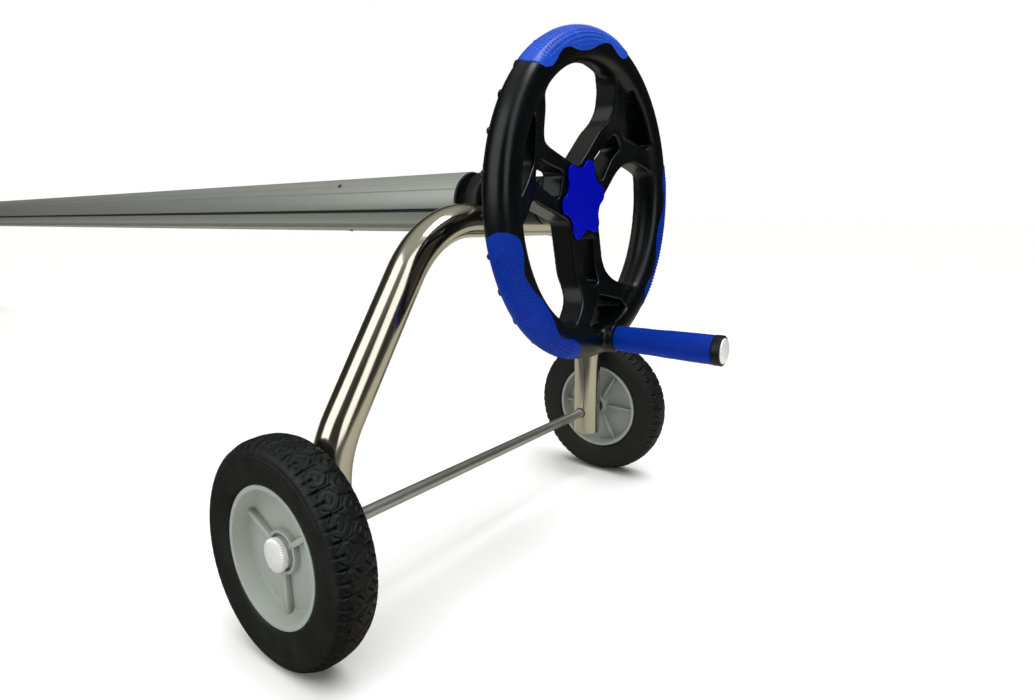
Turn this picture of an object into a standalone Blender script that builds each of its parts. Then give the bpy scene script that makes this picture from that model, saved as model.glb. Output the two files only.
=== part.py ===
"""Pool cover reel: an aluminium tube carried between two bent tube stands, wound by a hand wheel.

The reel tube lies along X with the hand wheel at its +X end. Y runs across the stands and Z is up.
The floor is Z = 0 and the origin is the middle of the whole object. Sizes are in metres.
"""

import math

import bmesh
import bpy
from mathutils import Matrix, Vector

# Fits shared by every joint between two pieces
TOUCH = 0.0003
RUN_GAP = 0.0015

# Small edges and working allowances shared by many pieces
SMALL_CHAMFER = 0.0006
EDGE_ROUND = 0.002
JOIN_DEPTH = 0.0015
CUT_PAST = 0.010

# Reel tube
TUBE_LENGTH = 3.200
TUBE_RADIUS = 0.038
TUBE_WALL = 0.0026
TUBE_AXIS_HEIGHT = 0.440
GROOVE_WIDTH = 0.0060
GROOVE_DEPTH = 0.0014
GROOVE_START = 193.0
GROOVE_COUNT = 3
RIVET_RADIUS = 0.0028
RIVET_HEAD = 0.0014
RIVET_SETBACK = 0.230
RIVET_ANGLE = 136.0
RIVET_COUNT = 3

# Stand tubes
STAND_TUBE_RADIUS = 0.021
STAND_TUBE_WALL = 0.0016
STAND_TOP_DROP = 0.0225
STAND_TOP_HALF = 0.039
STAND_TOP_BEND = 0.127
STAND_LOW_BEND = 0.125
LEG_SPLAY = math.radians(32.3)
LEG_HALF_SPREAD = 0.254
LEG_OVERHANG = 0.034

# Wheels and axle
TYRE_RADIUS = 0.110
TYRE_HALF_WIDTH = 0.0228
TYRE_SHOULDER_DROP = 0.0048
TYRE_SHOULDER_HALF = 0.0190
TYRE_SHOULDER_EDGE = 0.0040
TYRE_BULGE_START = 0.0870
TYRE_CROWN_DROP = 0.0012
TYRE_CROWN_HALF = 0.0105
HUB_RADIUS = 0.068
HUB_WIDTH = 0.039
HUB_LIP = 0.0045
HUB_WALL_TAPER = 0.0050
HUB_EDGE = 0.0015
WEB_DEPTH = 0.0185
WEB_THICKNESS = 0.0040
BOSS_RADIUS = 0.015
BOSS_DEPTH = 0.0105
BOSS_BACK_DEPTH = 0.0020
RIB_WIDTH = 0.0060
RIB_DEPTH = 0.0120
RIB_COUNT = 3
RIB_START = 35.0
BACK_RIB_WIDTH = 0.0030
BACK_RIB_DEPTH = 0.0070
BACK_RIB_COUNT = 6
WHEEL_GAP = 0.0072
AXLE_RADIUS = 0.007
AXLE_CAP_RADIUS = 0.016
AXLE_CAP_HEIGHT = 0.0078
AXLE_CAP_SIDE = 0.0042
AXLE_CAP_WALL = 0.0022
SPACER_RADIUS = 0.011

# Rubber feet of the idle stand
FOOT_RADIUS = 0.0265
FOOT_HEIGHT = 0.046
FOOT_SOLE = 0.012
FOOT_EDGE = 0.002

# Bearings
BLOCK_RADIUS = 0.037
BLOCK_THICKNESS = 0.020
BLOCK_SKIRT = 0.008
BARREL_RADIUS = 0.028
BARREL_REACH = 0.085
BUSH_WALL = 0.0027
SEAT_WALL = 0.0022
SCREW_RADIUS = 0.0038
SCREW_HEAD = 0.0026
SCREW_CIRCLE = 0.0325
SCREW_ANGLE = 42.0

# Shafts and tube end plugs
SHAFT_RADIUS = 0.009
SHAFT_INSERT = 0.090
STUD_RADIUS = 0.005
PLUG_FLANGE = 0.0025
PLUG_FLANGE_RADIUS = 0.0372
PLUG_INSERT = 0.275
IDLE_CAP_RADIUS = 0.0165
IDLE_CAP_HEIGHT = 0.012
IDLE_CAP_SIDE = 0.009
IDLE_CAP_WALL = 0.004

# Hand wheel
RIM_RADIUS = 0.178
RIM_SECTION_RADIAL = 0.035
RIM_BACK = 0.1265
RIM_DEPTH = 0.0335
RIM_SEAM_DEPTH = 0.0095
RIM_SQUARENESS = 0.82
RIM_INNER_LIP = 0.0095
SPOKE_COUNT = 3
SPOKE_START = 44.0
SPOKE_WIDTH = 0.062
SPOKE_DEPTH = 0.027
SPOKE_FRONT_DEPTH = 0.0075
SPOKE_RISE = 0.016
SPOKE_RISE_START = 0.086
SPOKE_RISE_SETBACK = 0.007
KNOB_BED_DEPTH = 0.007
KNOB_BED_RADIUS = 0.024
OPENING_HALF_WIDTH = 0.074
OPENING_HUB_FILLET = 0.015
OPENING_KNEE_FILLET = 0.026
OPENING_RIM_FILLET = 0.012
OPENING_UNDERCUT = 0.0070
SLOT_START = 0.045
SLOT_LENGTH = 0.056
SLOT_INNER_WIDTH = 0.032
SLOT_OUTER_WIDTH = 0.021
SLOT_FILLET = 0.006
WINDOW_LENGTH = 0.035
WINDOW_BITE = 0.005
WINDOW_WIDTH = 0.080
WINDOW_SIDE_LENGTH = 0.021
WINDOW_FILLET = 0.006
WINDOW_SIDE_FILLET = 0.005
WHEEL_BOSS_RADIUS = 0.028
RIDGE_COUNT = 28
RIDGE_WIDTH = 0.0040
RIDGE_HEIGHT = 0.0018
RIDGE_INNER_GAP = 0.0020
RIDGE_OUTER_GAP = 0.0080
SHELL_SCREW_COUNT = 6
SHELL_SCREW_RADIUS = 0.0036
SHELL_SCREW_HEAD = 0.0018

# Grips on the rim
GRIP_SPAN = 63.4
GRIP_PROUD = 0.0006
GRIP_INSET = 0.0024
GRIP_INNER_EDGE = 148.0
GRIP_SEAM_OFFSET = 3.0

# Star knob
KNOB_RADIUS = 0.0460
KNOB_VALLEY = 0.0350
KNOB_LOBES = 6
KNOB_TURN = 12.0
KNOB_THICKNESS = 0.0084
KNOB_PLATE_GAP = 0.0008
KNOB_BOSS_RADIUS = 0.018
KNOB_EDGE = 0.0010
KNOB_HOLE_DEPTH = 0.0054
WASHER_RADIUS = 0.016
WASHER_THICKNESS = 0.0015

# Crank handle
CRANK_INSET = 0.018
CRANK_ANGLE = -80.5
CRANK_BOSS_RADIUS = 0.0165
CRANK_BOSS_PROUD = 0.008
CRANK_SPINDLE_RADIUS = 0.0050
CRANK_SPINDLE_FLOOR = 0.0080
CRANK_SPINDLE_SHORT = 0.0040
CRANK_SLEEVE_LENGTH = 0.113
CRANK_SLEEVE_ROOT = 0.0143
CRANK_SLEEVE_TIP = 0.0160
CRANK_SLEEVE_NECK = 0.0140
CRANK_RING_LENGTH = 0.0090
CRANK_RING_RADIUS = 0.0164
CRANK_CAP_RADIUS = 0.0136
CRANK_CAP_SEAT = 0.0025
CRANK_CAP_SIDE = 0.0025
CRANK_CAP_PROUD = 0.0035

# Facets
GRIP_STEPS = 9
ROUND_LARGE = 32
ROUND_SMALL = 20
ROUND_TINY = 10
SLANT_BEND_STEPS = 5
QUARTER_BEND_STEPS = 8
LOW_BEND_STEPS = 3
RIM_STEPS = 9
SHELL_STEPS = 4
GRIP_SECTION_STEPS = 6
KNOB_LOBE_STEPS = 8
DOME_STEPS = 3
FILLET_STEPS = 3
OPENING_ARC_STEPS = 6
WINDOW_ARC_STEPS = 4
SMOOTH_ANGLE = 38.0
WELD_DISTANCE = 0.000005

# Places worked out from the sizes above
STAND_CLEAR = STAND_TUBE_RADIUS + RUN_GAP
TUBE_END_SETBACK = STAND_CLEAR + PLUG_FLANGE + TOUCH
STAND_SPACING = TUBE_LENGTH + 2 * TUBE_END_SETBACK
RIM_FRONT = RIM_BACK + RIM_DEPTH
RIM_SEAM = RIM_BACK + RIM_SEAM_DEPTH
SPOKE_FRONT = RIM_BACK + SPOKE_FRONT_DEPTH
CRANK_ARM = RIM_RADIUS - CRANK_INSET
CRANK_BOSS_REACH = RIM_FRONT + CRANK_BOSS_PROUD
CRANK_SLEEVE_START = CRANK_BOSS_REACH + TOUCH
CRANK_RING_START = CRANK_SLEEVE_START + CRANK_SLEEVE_LENGTH + TOUCH
CRANK_TIP = CRANK_RING_START + CRANK_RING_LENGTH + CRANK_CAP_PROUD
IDLE_TIP = STAND_CLEAR + IDLE_CAP_HEIGHT
IDLE_REACH = max(IDLE_TIP, FOOT_RADIUS)
DRIVE_X = (STAND_SPACING + CRANK_TIP + IDLE_REACH) / 2 - CRANK_TIP
IDLE_X = DRIVE_X - STAND_SPACING
AXLE_HEIGHT = TYRE_RADIUS
STAND_TOP_HEIGHT = TUBE_AXIS_HEIGHT - STAND_TOP_DROP
WHEEL_Y = LEG_HALF_SPREAD + STAND_TUBE_RADIUS + WHEEL_GAP + TYRE_HALF_WIDTH
BOSS_FACE = HUB_WIDTH / 2 - BOSS_DEPTH
BOSS_BACK = HUB_WIDTH / 2 - BOSS_BACK_DEPTH
BLOCK_HALF = BLOCK_THICKNESS / 2
RIM_MID = RIM_RADIUS - RIM_SECTION_RADIAL / 2
RIM_INNER = RIM_RADIUS - RIM_SECTION_RADIAL
RIM_LIP = RIM_INNER + RIM_INNER_LIP
RIDGE_INNER = RIM_LIP + RIDGE_INNER_GAP
RIDGE_OUTER = RIM_RADIUS - RIDGE_OUTER_GAP
WINDOW_END = RIM_INNER + WINDOW_BITE
WINDOW_START = WINDOW_END - WINDOW_LENGTH
SPOKE_RISE_END = RIM_INNER - SPOKE_RISE_SETBACK
BUSH_RADIUS = SHAFT_RADIUS + TOUCH + BUSH_WALL
SEAT_RADIUS = BUSH_RADIUS + TOUCH + SEAT_WALL
HUB_FACE = SPOKE_FRONT - KNOB_BED_DEPTH
SPOKE_STEP = 360.0 / SPOKE_COUNT
GRIP_START = SPOKE_START + SPOKE_STEP / 2 - GRIP_SPAN / 2
WHEEL_BOSS_START = BARREL_REACH + RUN_GAP
HUB_BACK = SPOKE_FRONT - SPOKE_DEPTH
CRANK_SPINDLE_START = RIM_SEAM + CRANK_SPINDLE_FLOOR
KNOB_START = HUB_FACE + TOUCH + WASHER_THICKNESS + TOUCH
KNOB_PLATE_START = SPOKE_FRONT + KNOB_PLATE_GAP
KNOB_FRONT = KNOB_START + KNOB_THICKNESS
STUD_END = KNOB_START + KNOB_HOLE_DEPTH - TOUCH

for leftover in list(bpy.data.objects):
    bpy.data.objects.remove(leftover, do_unlink=True)


def make_collection(name, cutters=False):
    """Add a collection to the scene."""
    found = bpy.data.collections.new(name)
    bpy.context.scene.collection.children.link(found)
    found.hide_render = cutters
    return found


PARTS = make_collection("pool_cover_reel")
CUTTERS = make_collection("cutters", cutters=True)


def make_material(name, colour, roughness, metallic=0.0):
    """Make a Principled material from a linear colour."""
    made = bpy.data.materials.new(name)
    made.use_nodes = True
    shader = made.node_tree.nodes["Principled BSDF"]
    shader.inputs["Base Color"].default_value = (*colour, 1.0)
    shader.inputs["Roughness"].default_value = roughness
    shader.inputs["Metallic"].default_value = metallic
    made.diffuse_color = (*colour, 1.0)
    return made


STAINLESS = make_material("polished_stainless", (0.62, 0.59, 0.53), 0.12, 1.0)
ALUMINIUM = make_material("satin_aluminium", (0.55, 0.56, 0.55), 0.38, 1.0)
STEEL = make_material("plated_steel", (0.45, 0.46, 0.45), 0.30, 1.0)
BLACK = make_material("black_plastic", (0.012, 0.013, 0.014), 0.42)
BLUE = make_material("blue_grip", (0.006, 0.028, 0.36), 0.45)
RUBBER = make_material("tyre_rubber", (0.015, 0.016, 0.017), 0.70)
GREY = make_material("grey_hub_plastic", (0.27, 0.30, 0.28), 0.50)
NYLON = make_material("bearing_nylon", (0.62, 0.61, 0.56), 0.45)


def add_object(name, data, collection=PARTS):
    """Link new data to the scene as an object."""
    made = bpy.data.objects.new(name, data)
    collection.objects.link(made)
    return made


def finish(piece, material):
    """Give a piece its material and smooth its round faces."""
    piece.data.materials.clear()
    piece.data.materials.append(material)
    piece.data.shade_smooth()
    piece.data.set_sharp_from_angle(angle=math.radians(SMOOTH_ANGLE))
    return piece


def to_mesh(piece, fill_ends=False):
    """Turn a curve or a piece with modifiers into a plain welded mesh in world coordinates."""
    bpy.context.view_layer.update()
    evaluated = piece.evaluated_get(bpy.context.evaluated_depsgraph_get())
    data = bpy.data.meshes.new_from_object(evaluated)
    data.transform(piece.matrix_world)
    shaped = bmesh.new()
    shaped.from_mesh(data)
    bmesh.ops.remove_doubles(shaped, verts=shaped.verts, dist=WELD_DISTANCE)
    if fill_ends:
        bmesh.ops.holes_fill(shaped, edges=shaped.edges, sides=0)
    bmesh.ops.recalc_face_normals(shaped, faces=shaped.faces)
    shaped.to_mesh(data)
    shaped.free()
    name = piece.name
    kept = piece.users_collection[0]
    bpy.data.objects.remove(piece, do_unlink=True)
    data.name = name
    return add_object(name, data, kept)


def axis_matrix(axis, place):
    """Return the placing that turns local +Z to an axis, with local +X towards the next world axis."""
    along = Vector(axis).normalized()
    upward = along.cross(Vector((abs(along.z), abs(along.x), abs(along.y)))).normalized()
    across = upward.cross(along)
    turn = Matrix((across, upward, along)).transposed().to_4x4()
    return Matrix.Translation(Vector(place)) @ turn


def turned(name, profile, axis, place, steps=ROUND_LARGE, span=360.0, start=0.0):
    """Turn a profile of (radius, height) points about an axis with a Screw modifier."""
    shaped = bmesh.new()
    angle = math.radians(start)
    points = []
    for radius, height in profile:
        place_of_point = (radius * math.cos(angle), radius * math.sin(angle), height)
        points.append(shaped.verts.new(place_of_point))
    for first, second in zip(points, points[1:]):
        shaped.edges.new((first, second))
    if profile[0][0] > 0.0:
        shaped.edges.new((points[-1], points[0]))
    data = bpy.data.meshes.new(name)
    shaped.to_mesh(data)
    shaped.free()
    piece = add_object(name, data)
    screw = piece.modifiers.new("turn", "SCREW")
    screw.angle = math.radians(span)
    screw.steps = steps
    screw.render_steps = steps
    screw.use_merge_vertices = True
    screw.merge_threshold = WELD_DISTANCE
    screw.use_smooth_shade = False
    piece.matrix_world = axis_matrix(axis, place)
    return to_mesh(piece, fill_ends=span < 360.0)


def rod(name, radius, start, end, steps=ROUND_SMALL, bore=0.0, chamfer=0.0, turn=0.0):
    """Make a round bar or sleeve between two points."""
    start = Vector(start)
    end = Vector(end)
    length = (end - start).length
    profile = [(bore, length), (radius, length), (radius, 0.0), (bore, 0.0)]
    if chamfer > 0.0:
        profile = [(bore, length), (radius - chamfer, length), (radius, length - chamfer)]
        profile += [(radius, chamfer), (radius - chamfer, 0.0), (bore, 0.0)]
    return turned(name, profile, end - start, start, steps, start=turn)


def domed(radius, side, top):
    """List profile points over a shallow dome, from its tip down to its straight side."""
    points = []
    for step in range(DOME_STEPS + 1):
        turn = math.pi / 2 * step / DOME_STEPS
        points.append((radius * math.sin(turn), side + (top - side) * math.cos(turn)))
    return points


def flat_outline(name, outlines, thickness, edge=0.0):
    """Make a plate in the local XY plane from closed outlines; inner outlines are holes."""
    data = bpy.data.curves.new(name, "CURVE")
    data.dimensions = "2D"
    data.fill_mode = "BOTH"
    data.extrude = thickness / 2 - edge
    data.bevel_depth = edge
    data.bevel_resolution = 0
    data.offset = -edge
    for outline in outlines:
        spline = data.splines.new("POLY")
        spline.points.add(len(outline) - 1)
        for point, (across, along) in zip(spline.points, outline):
            point.co = (across, along, 0.0, 1.0)
        spline.use_cyclic_u = True
    return add_object(name, data)


def arc(centre, radius, first, last, steps):
    """List points on an arc between two angles in degrees, ends included."""
    points = []
    for step in range(steps + 1):
        angle = math.radians(first + (last - first) * step / steps)
        points.append((centre[0] + radius * math.cos(angle), centre[1] + radius * math.sin(angle)))
    return points


def filleted(corners, fillets, steps=FILLET_STEPS):
    """Round the corners of a polygon, each with its own radius; a radius of zero keeps the corner."""
    outline = []
    count = len(corners)
    for index, (corner, radius) in enumerate(zip(corners, fillets)):
        here = Vector(corner)
        if radius == 0.0:
            outline.append(tuple(here))
            continue
        before = (Vector(corners[index - 1]) - here).normalized()
        after = (Vector(corners[(index + 1) % count]) - here).normalized()
        half = before.angle(after) / 2
        middle = here + (before + after).normalized() * (radius / math.sin(half))
        first = here + before * (radius / math.tan(half)) - middle
        last = here + after * (radius / math.tan(half)) - middle
        sweep = first.angle_signed(last)
        for step in range(steps + 1):
            turn = -sweep * step / steps
            spoke = Vector((first.x * math.cos(turn) - first.y * math.sin(turn),
                            first.x * math.sin(turn) + first.y * math.cos(turn)))
            outline.append(tuple(middle + spoke))
    return outline


def combine(piece, others, operation):
    """Join or cut a mesh with others, which become cutters or are used up."""
    for other in others:
        change = piece.modifiers.new(operation.lower(), "BOOLEAN")
        change.operation = operation
        change.solver = "EXACT"
        change.object = other
    made = to_mesh(piece)
    for other in others:
        for holder in list(other.users_collection):
            holder.objects.unlink(other)
        CUTTERS.objects.link(other)
        other.hide_render = True
        other.display_type = "WIRE"
    return made


def set_origin(piece, place):
    """Move a piece's origin without moving the piece."""
    place = Vector(place)
    piece.data.transform(Matrix.Translation(-place))
    piece.location = place
    return piece


def polar(radius, angle):
    """Return the Y and Z of a point seen from the hand wheel's front, from the tube's axis."""
    turn = math.radians(angle)
    return radius * math.cos(turn), radius * math.sin(turn)


def on_reel(along, radius=0.0, angle=0.0, stand_x=DRIVE_X):
    """Return the world place of a point given from a stand and the tube's axis."""
    across, up = polar(radius, angle)
    return stand_x + along, across, TUBE_AXIS_HEIGHT + up


def facing_plate(piece, along, stand_x=DRIVE_X):
    """Stand a flat plate upright across the tube's axis: local X to Y and local Y to Z."""
    piece.matrix_world = axis_matrix((1, 0, 0), on_reel(along, stand_x=stand_x))
    return to_mesh(piece)


def slanting_half(leg_end):
    """List (distance from the middle, Z) of a stand's near half: level, slanting out, then upright."""
    centre = (STAND_TOP_HALF, STAND_TOP_HEIGHT - STAND_TOP_BEND)
    points = arc(centre, STAND_TOP_BEND, 90.0, math.degrees(LEG_SPLAY), SLANT_BEND_STEPS)
    low_shift = STAND_LOW_BEND * (1 - math.cos(LEG_SPLAY))
    slant = (LEG_HALF_SPREAD - low_shift - points[-1][0]) / math.sin(LEG_SPLAY)
    low_top = points[-1][1] - slant * math.cos(LEG_SPLAY)
    low_centre = (LEG_HALF_SPREAD - STAND_LOW_BEND, low_top - STAND_LOW_BEND * math.sin(LEG_SPLAY))
    points += arc(low_centre, STAND_LOW_BEND, math.degrees(LEG_SPLAY), 0.0, LOW_BEND_STEPS)
    points.append((LEG_HALF_SPREAD, leg_end))
    return points


def upright_half(leg_end):
    """List (distance from the middle, Z) of a stand's far half: level, a quarter bend, then upright."""
    centre = (LEG_HALF_SPREAD - STAND_TOP_BEND, STAND_TOP_HEIGHT - STAND_TOP_BEND)
    points = arc(centre, STAND_TOP_BEND, 90.0, 0.0, QUARTER_BEND_STEPS)
    points.append((LEG_HALF_SPREAD, leg_end))
    return points


def make_stand(name, stand_x, leg_end):
    """Bend one stand from a single tube, open at both feet, with a seat cut for the bearing."""
    near = slanting_half(leg_end)
    route = [(-across, up) for across, up in reversed(near)] + upright_half(leg_end)
    data = bpy.data.curves.new(name, "CURVE")
    data.dimensions = "3D"
    data.bevel_depth = STAND_TUBE_RADIUS
    data.bevel_resolution = 6
    data.use_fill_caps = False
    spline = data.splines.new("POLY")
    spline.points.add(len(route) - 1)
    for point, (across, up) in zip(spline.points, route):
        point.co = (0.0, across, up, 1.0)
    stand = add_object(name, data)
    stand.location = (stand_x, 0.0, 0.0)
    stand = to_mesh(stand)
    wall = stand.modifiers.new("wall", "SOLIDIFY")
    wall.thickness = STAND_TUBE_WALL
    wall.offset = -1.0
    wall.use_even_offset = True
    stand = to_mesh(stand)
    seat_reach = STAND_TUBE_RADIUS + CUT_PAST
    seat = rod(name + "_seat", SEAT_RADIUS + TOUCH, on_reel(-seat_reach, stand_x=stand_x),
               on_reel(seat_reach, stand_x=stand_x))
    return stand, seat


def make_bearing(prefix, stand_x, side):
    """Make a bearing block, its bush and its two screws; side is +1 where the block faces +X."""
    skirt = -BLOCK_SKIRT
    outline = [(BLOCK_RADIUS, skirt)] + arc((0.0, 0.0), BLOCK_RADIUS, 0.0, 180.0, ROUND_LARGE // 2)
    outline.append((-BLOCK_RADIUS, skirt))
    block = facing_plate(flat_outline(prefix + "_bearing_block", [outline], BLOCK_THICKNESS, EDGE_ROUND),
                         0.0, stand_x)
    if side > 0:
        barrel = rod(prefix + "_barrel", BARREL_RADIUS, on_reel(0.0, stand_x=stand_x),
                     on_reel(BARREL_REACH, stand_x=stand_x), ROUND_SMALL)
        block = combine(block, [barrel], "UNION")
    top = (stand_x, -LEG_HALF_SPREAD, STAND_TOP_HEIGHT)
    end = (stand_x, LEG_HALF_SPREAD, STAND_TOP_HEIGHT)
    saddle = rod(prefix + "_saddle", STAND_TUBE_RADIUS + TOUCH, top, end, ROUND_LARGE)
    block = combine(block, [saddle], "DIFFERENCE")
    seat = rod(prefix + "_bush_seat", SEAT_RADIUS, on_reel(-BLOCK_HALF, stand_x=stand_x),
               on_reel(BLOCK_HALF, stand_x=stand_x))
    block = combine(block, [seat], "UNION")
    reach = BARREL_REACH if side > 0 else BLOCK_HALF
    bore = rod(prefix + "_bush_bore", BUSH_RADIUS + TOUCH, on_reel(-BLOCK_HALF - CUT_PAST, stand_x=stand_x),
               on_reel(reach + CUT_PAST, stand_x=stand_x))
    block = combine(block, [bore], "DIFFERENCE")
    finish(block, BLACK)
    bush_end = max(reach, STAND_TUBE_RADIUS)
    bush = rod(prefix + "_bearing_bush", BUSH_RADIUS, on_reel(-STAND_TUBE_RADIUS, stand_x=stand_x),
               on_reel(bush_end, stand_x=stand_x), bore=SHAFT_RADIUS + TOUCH)
    finish(bush, NYLON)
    for index, angle in enumerate((90.0 + SCREW_ANGLE, 90.0 - SCREW_ANGLE)):
        foot = on_reel(side * (BLOCK_HALF + TOUCH), SCREW_CIRCLE, angle, stand_x)
        tip = on_reel(side * (BLOCK_HALF + TOUCH + SCREW_HEAD), SCREW_CIRCLE, angle, stand_x)
        head = rod(f"{prefix}_bearing_screw_{index + 1}", SCREW_RADIUS, foot, tip, ROUND_TINY,
                   chamfer=SMALL_CHAMFER)
        finish(set_origin(head, foot), STEEL)


def make_axle():
    """Make the rod through both legs and the caps and spacers that hold the wheels on it."""
    legs_x = DRIVE_X
    cap_back = WHEEL_Y + BOSS_FACE + TOUCH
    rod_end = cap_back + AXLE_CAP_HEIGHT - AXLE_CAP_WALL - TOUCH
    axle = rod("axle_rod", AXLE_RADIUS, (legs_x, -rod_end, AXLE_HEIGHT), (legs_x, rod_end, AXLE_HEIGHT),
               chamfer=SMALL_CHAMFER)
    finish(axle, STEEL)
    inner = LEG_HALF_SPREAD + STAND_TUBE_RADIUS + TOUCH
    outer = WHEEL_Y - BOSS_BACK - TOUCH
    bore = AXLE_RADIUS + TOUCH
    for side, label in ((-1, "near"), (1, "far")):
        spacer = rod(label + "_wheel_spacer", SPACER_RADIUS, (legs_x, side * inner, AXLE_HEIGHT),
                     (legs_x, side * outer, AXLE_HEIGHT), bore=bore)
        finish(spacer, BLACK)
        inner_top = AXLE_CAP_HEIGHT - AXLE_CAP_WALL
        profile = domed(AXLE_CAP_RADIUS, AXLE_CAP_SIDE, AXLE_CAP_HEIGHT)
        profile += [(AXLE_CAP_RADIUS, 0.0), (bore, 0.0), (bore, inner_top), (0.0, inner_top)]
        cap = turned(label + "_axle_cap", profile, (0, side, 0), (legs_x, side * cap_back, AXLE_HEIGHT),
                     ROUND_SMALL)
        finish(cap, STAINLESS)


def make_wheel(label, side, turn):
    """Make one wheel: a ribbed plastic hub on the axle and the tyre around it."""
    half = HUB_WIDTH / 2
    bore = AXLE_RADIUS + TOUCH
    web = half - WEB_DEPTH
    wall_out = HUB_RADIUS - HUB_LIP
    wall_in = wall_out - HUB_WALL_TAPER
    web_back = web - WEB_THICKNESS
    profile = [(bore, BOSS_FACE), (BOSS_RADIUS, BOSS_FACE), (BOSS_RADIUS, web), (wall_in, web)]
    profile += [(wall_out, half - HUB_EDGE), (wall_out + HUB_EDGE, half), (HUB_RADIUS, half)]
    profile += [(HUB_RADIUS, -half), (wall_out, -half), (wall_in, web_back)]
    profile += [(BOSS_RADIUS, web_back), (BOSS_RADIUS, -BOSS_BACK), (bore, -BOSS_BACK)]
    place = (DRIVE_X, side * WHEEL_Y, AXLE_HEIGHT)
    hub = turned(label + "_wheel_hub", profile, (0, side, 0), place)
    ribs = []
    front_top = half - RIB_DEPTH
    back_top = -(half - BACK_RIB_DEPTH)
    sets = ((RIB_COUNT, turn, RIB_WIDTH, web - WEB_THICKNESS / 2, front_top),
            (BACK_RIB_COUNT, turn - RIB_START, BACK_RIB_WIDTH, back_top, web - WEB_THICKNESS / 2))
    for count, start, width, low, high in sets:
        for index in range(count):
            angle = math.radians(start + index * 360.0 / count)
            inner = BOSS_RADIUS - JOIN_DEPTH
            outer = wall_in + JOIN_DEPTH
            ribs.append(make_rib(f"{label}_rib_{len(ribs)}", place, side, angle, (inner, outer), width,
                                 (low, high)))
    hub = combine(hub, ribs, "UNION")
    finish(set_origin(hub, place), GREY)
    shoulder = TYRE_RADIUS - TYRE_SHOULDER_DROP
    seat = HUB_RADIUS + TOUCH
    side_line = [(seat, half), (TYRE_BULGE_START, TYRE_HALF_WIDTH)]
    side_line += [(shoulder - TYRE_SHOULDER_EDGE, TYRE_HALF_WIDTH), (shoulder, TYRE_SHOULDER_HALF)]
    crown = [(TYRE_RADIUS - TYRE_CROWN_DROP, TYRE_CROWN_HALF), (TYRE_RADIUS, 0.0)]
    profile = side_line + crown
    profile += [(radius, -height) for radius, height in reversed(side_line + crown[:1])]
    tyre = turned(label + "_wheel_tyre", profile, (0, side, 0), place)
    finish(set_origin(tyre, place), RUBBER)


def make_rib(name, place, side, angle, reach, width, depth):
    """Make one straight rib of a wheel hub, in the wheel's own plane at an angle from +X."""
    inner, outer = reach
    low, high = depth
    shaped = bmesh.new()
    bmesh.ops.create_cube(shaped, size=1.0)
    data = bpy.data.meshes.new(name)
    scale = Matrix.Diagonal((outer - inner, high - low, width, 1.0))
    shift = Matrix.Translation(((outer + inner) / 2, side * (high + low) / 2, 0.0))
    spin = Matrix.Rotation(-angle, 4, "Y")
    bmesh.ops.transform(shaped, matrix=Matrix.Translation(place) @ spin @ shift @ scale, verts=shaped.verts)
    bmesh.ops.recalc_face_normals(shaped, faces=shaped.faces)
    shaped.to_mesh(data)
    shaped.free()
    return add_object(name, data)


def rim_section(angle, inset=0.0):
    """Return (radius, along) on the rim's outer skin; 0 is outward, 90 is the front, 180 is inward."""
    half_radial = RIM_SECTION_RADIAL / 2 - inset
    half_along = (RIM_FRONT - RIM_BACK) / 2 - inset
    turn = math.radians(angle)
    cosine = math.cos(turn)
    sine = math.sin(turn)
    across = math.copysign(abs(cosine) ** RIM_SQUARENESS, cosine)
    along = math.copysign(abs(sine) ** RIM_SQUARENESS, sine)
    return RIM_MID + half_radial * across, (RIM_FRONT + RIM_BACK) / 2 + half_along * along


def seam_angle():
    """Find the angle on the rim's outer side where the back shell's seam runs."""
    share = ((RIM_FRONT + RIM_BACK) / 2 - RIM_SEAM) / ((RIM_FRONT - RIM_BACK) / 2)
    return -math.degrees(math.asin(share ** (1 / RIM_SQUARENESS)))


def lip_angle():
    """Find the angle on the rim's back where the body's inner lip ends and the back shell begins."""
    share = (RIM_MID - RIM_LIP) / (RIM_SECTION_RADIAL / 2)
    return 180.0 + math.degrees(math.acos(share ** (1 / RIM_SQUARENESS)))


def spoke_rise(radius):
    """Return how far the dished wheel's plate stands forward at a radius."""
    share = (radius - SPOKE_RISE_START) / (SPOKE_RISE_END - SPOKE_RISE_START)
    return SPOKE_RISE * min(max(share, 0.0), 1.0)


def spoke_frame(angle, radial, lateral):
    """Return (Y, Z) at a radial and a lateral distance from a spoke's centre line."""
    turn = math.radians(angle)
    return (radial * math.cos(turn) - lateral * math.sin(turn),
            radial * math.sin(turn) + lateral * math.cos(turn))


def rise_point(first, last):
    """Find the point on a straight side where the wheel's plate starts to rise."""
    first = Vector(first)
    run = Vector(last) - first
    nearest = -first.dot(run) / run.length_squared
    reach = math.sqrt(SPOKE_RISE_START ** 2 - (first + run * nearest).length_squared) / run.length
    return tuple(first + run * (nearest + reach))


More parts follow.
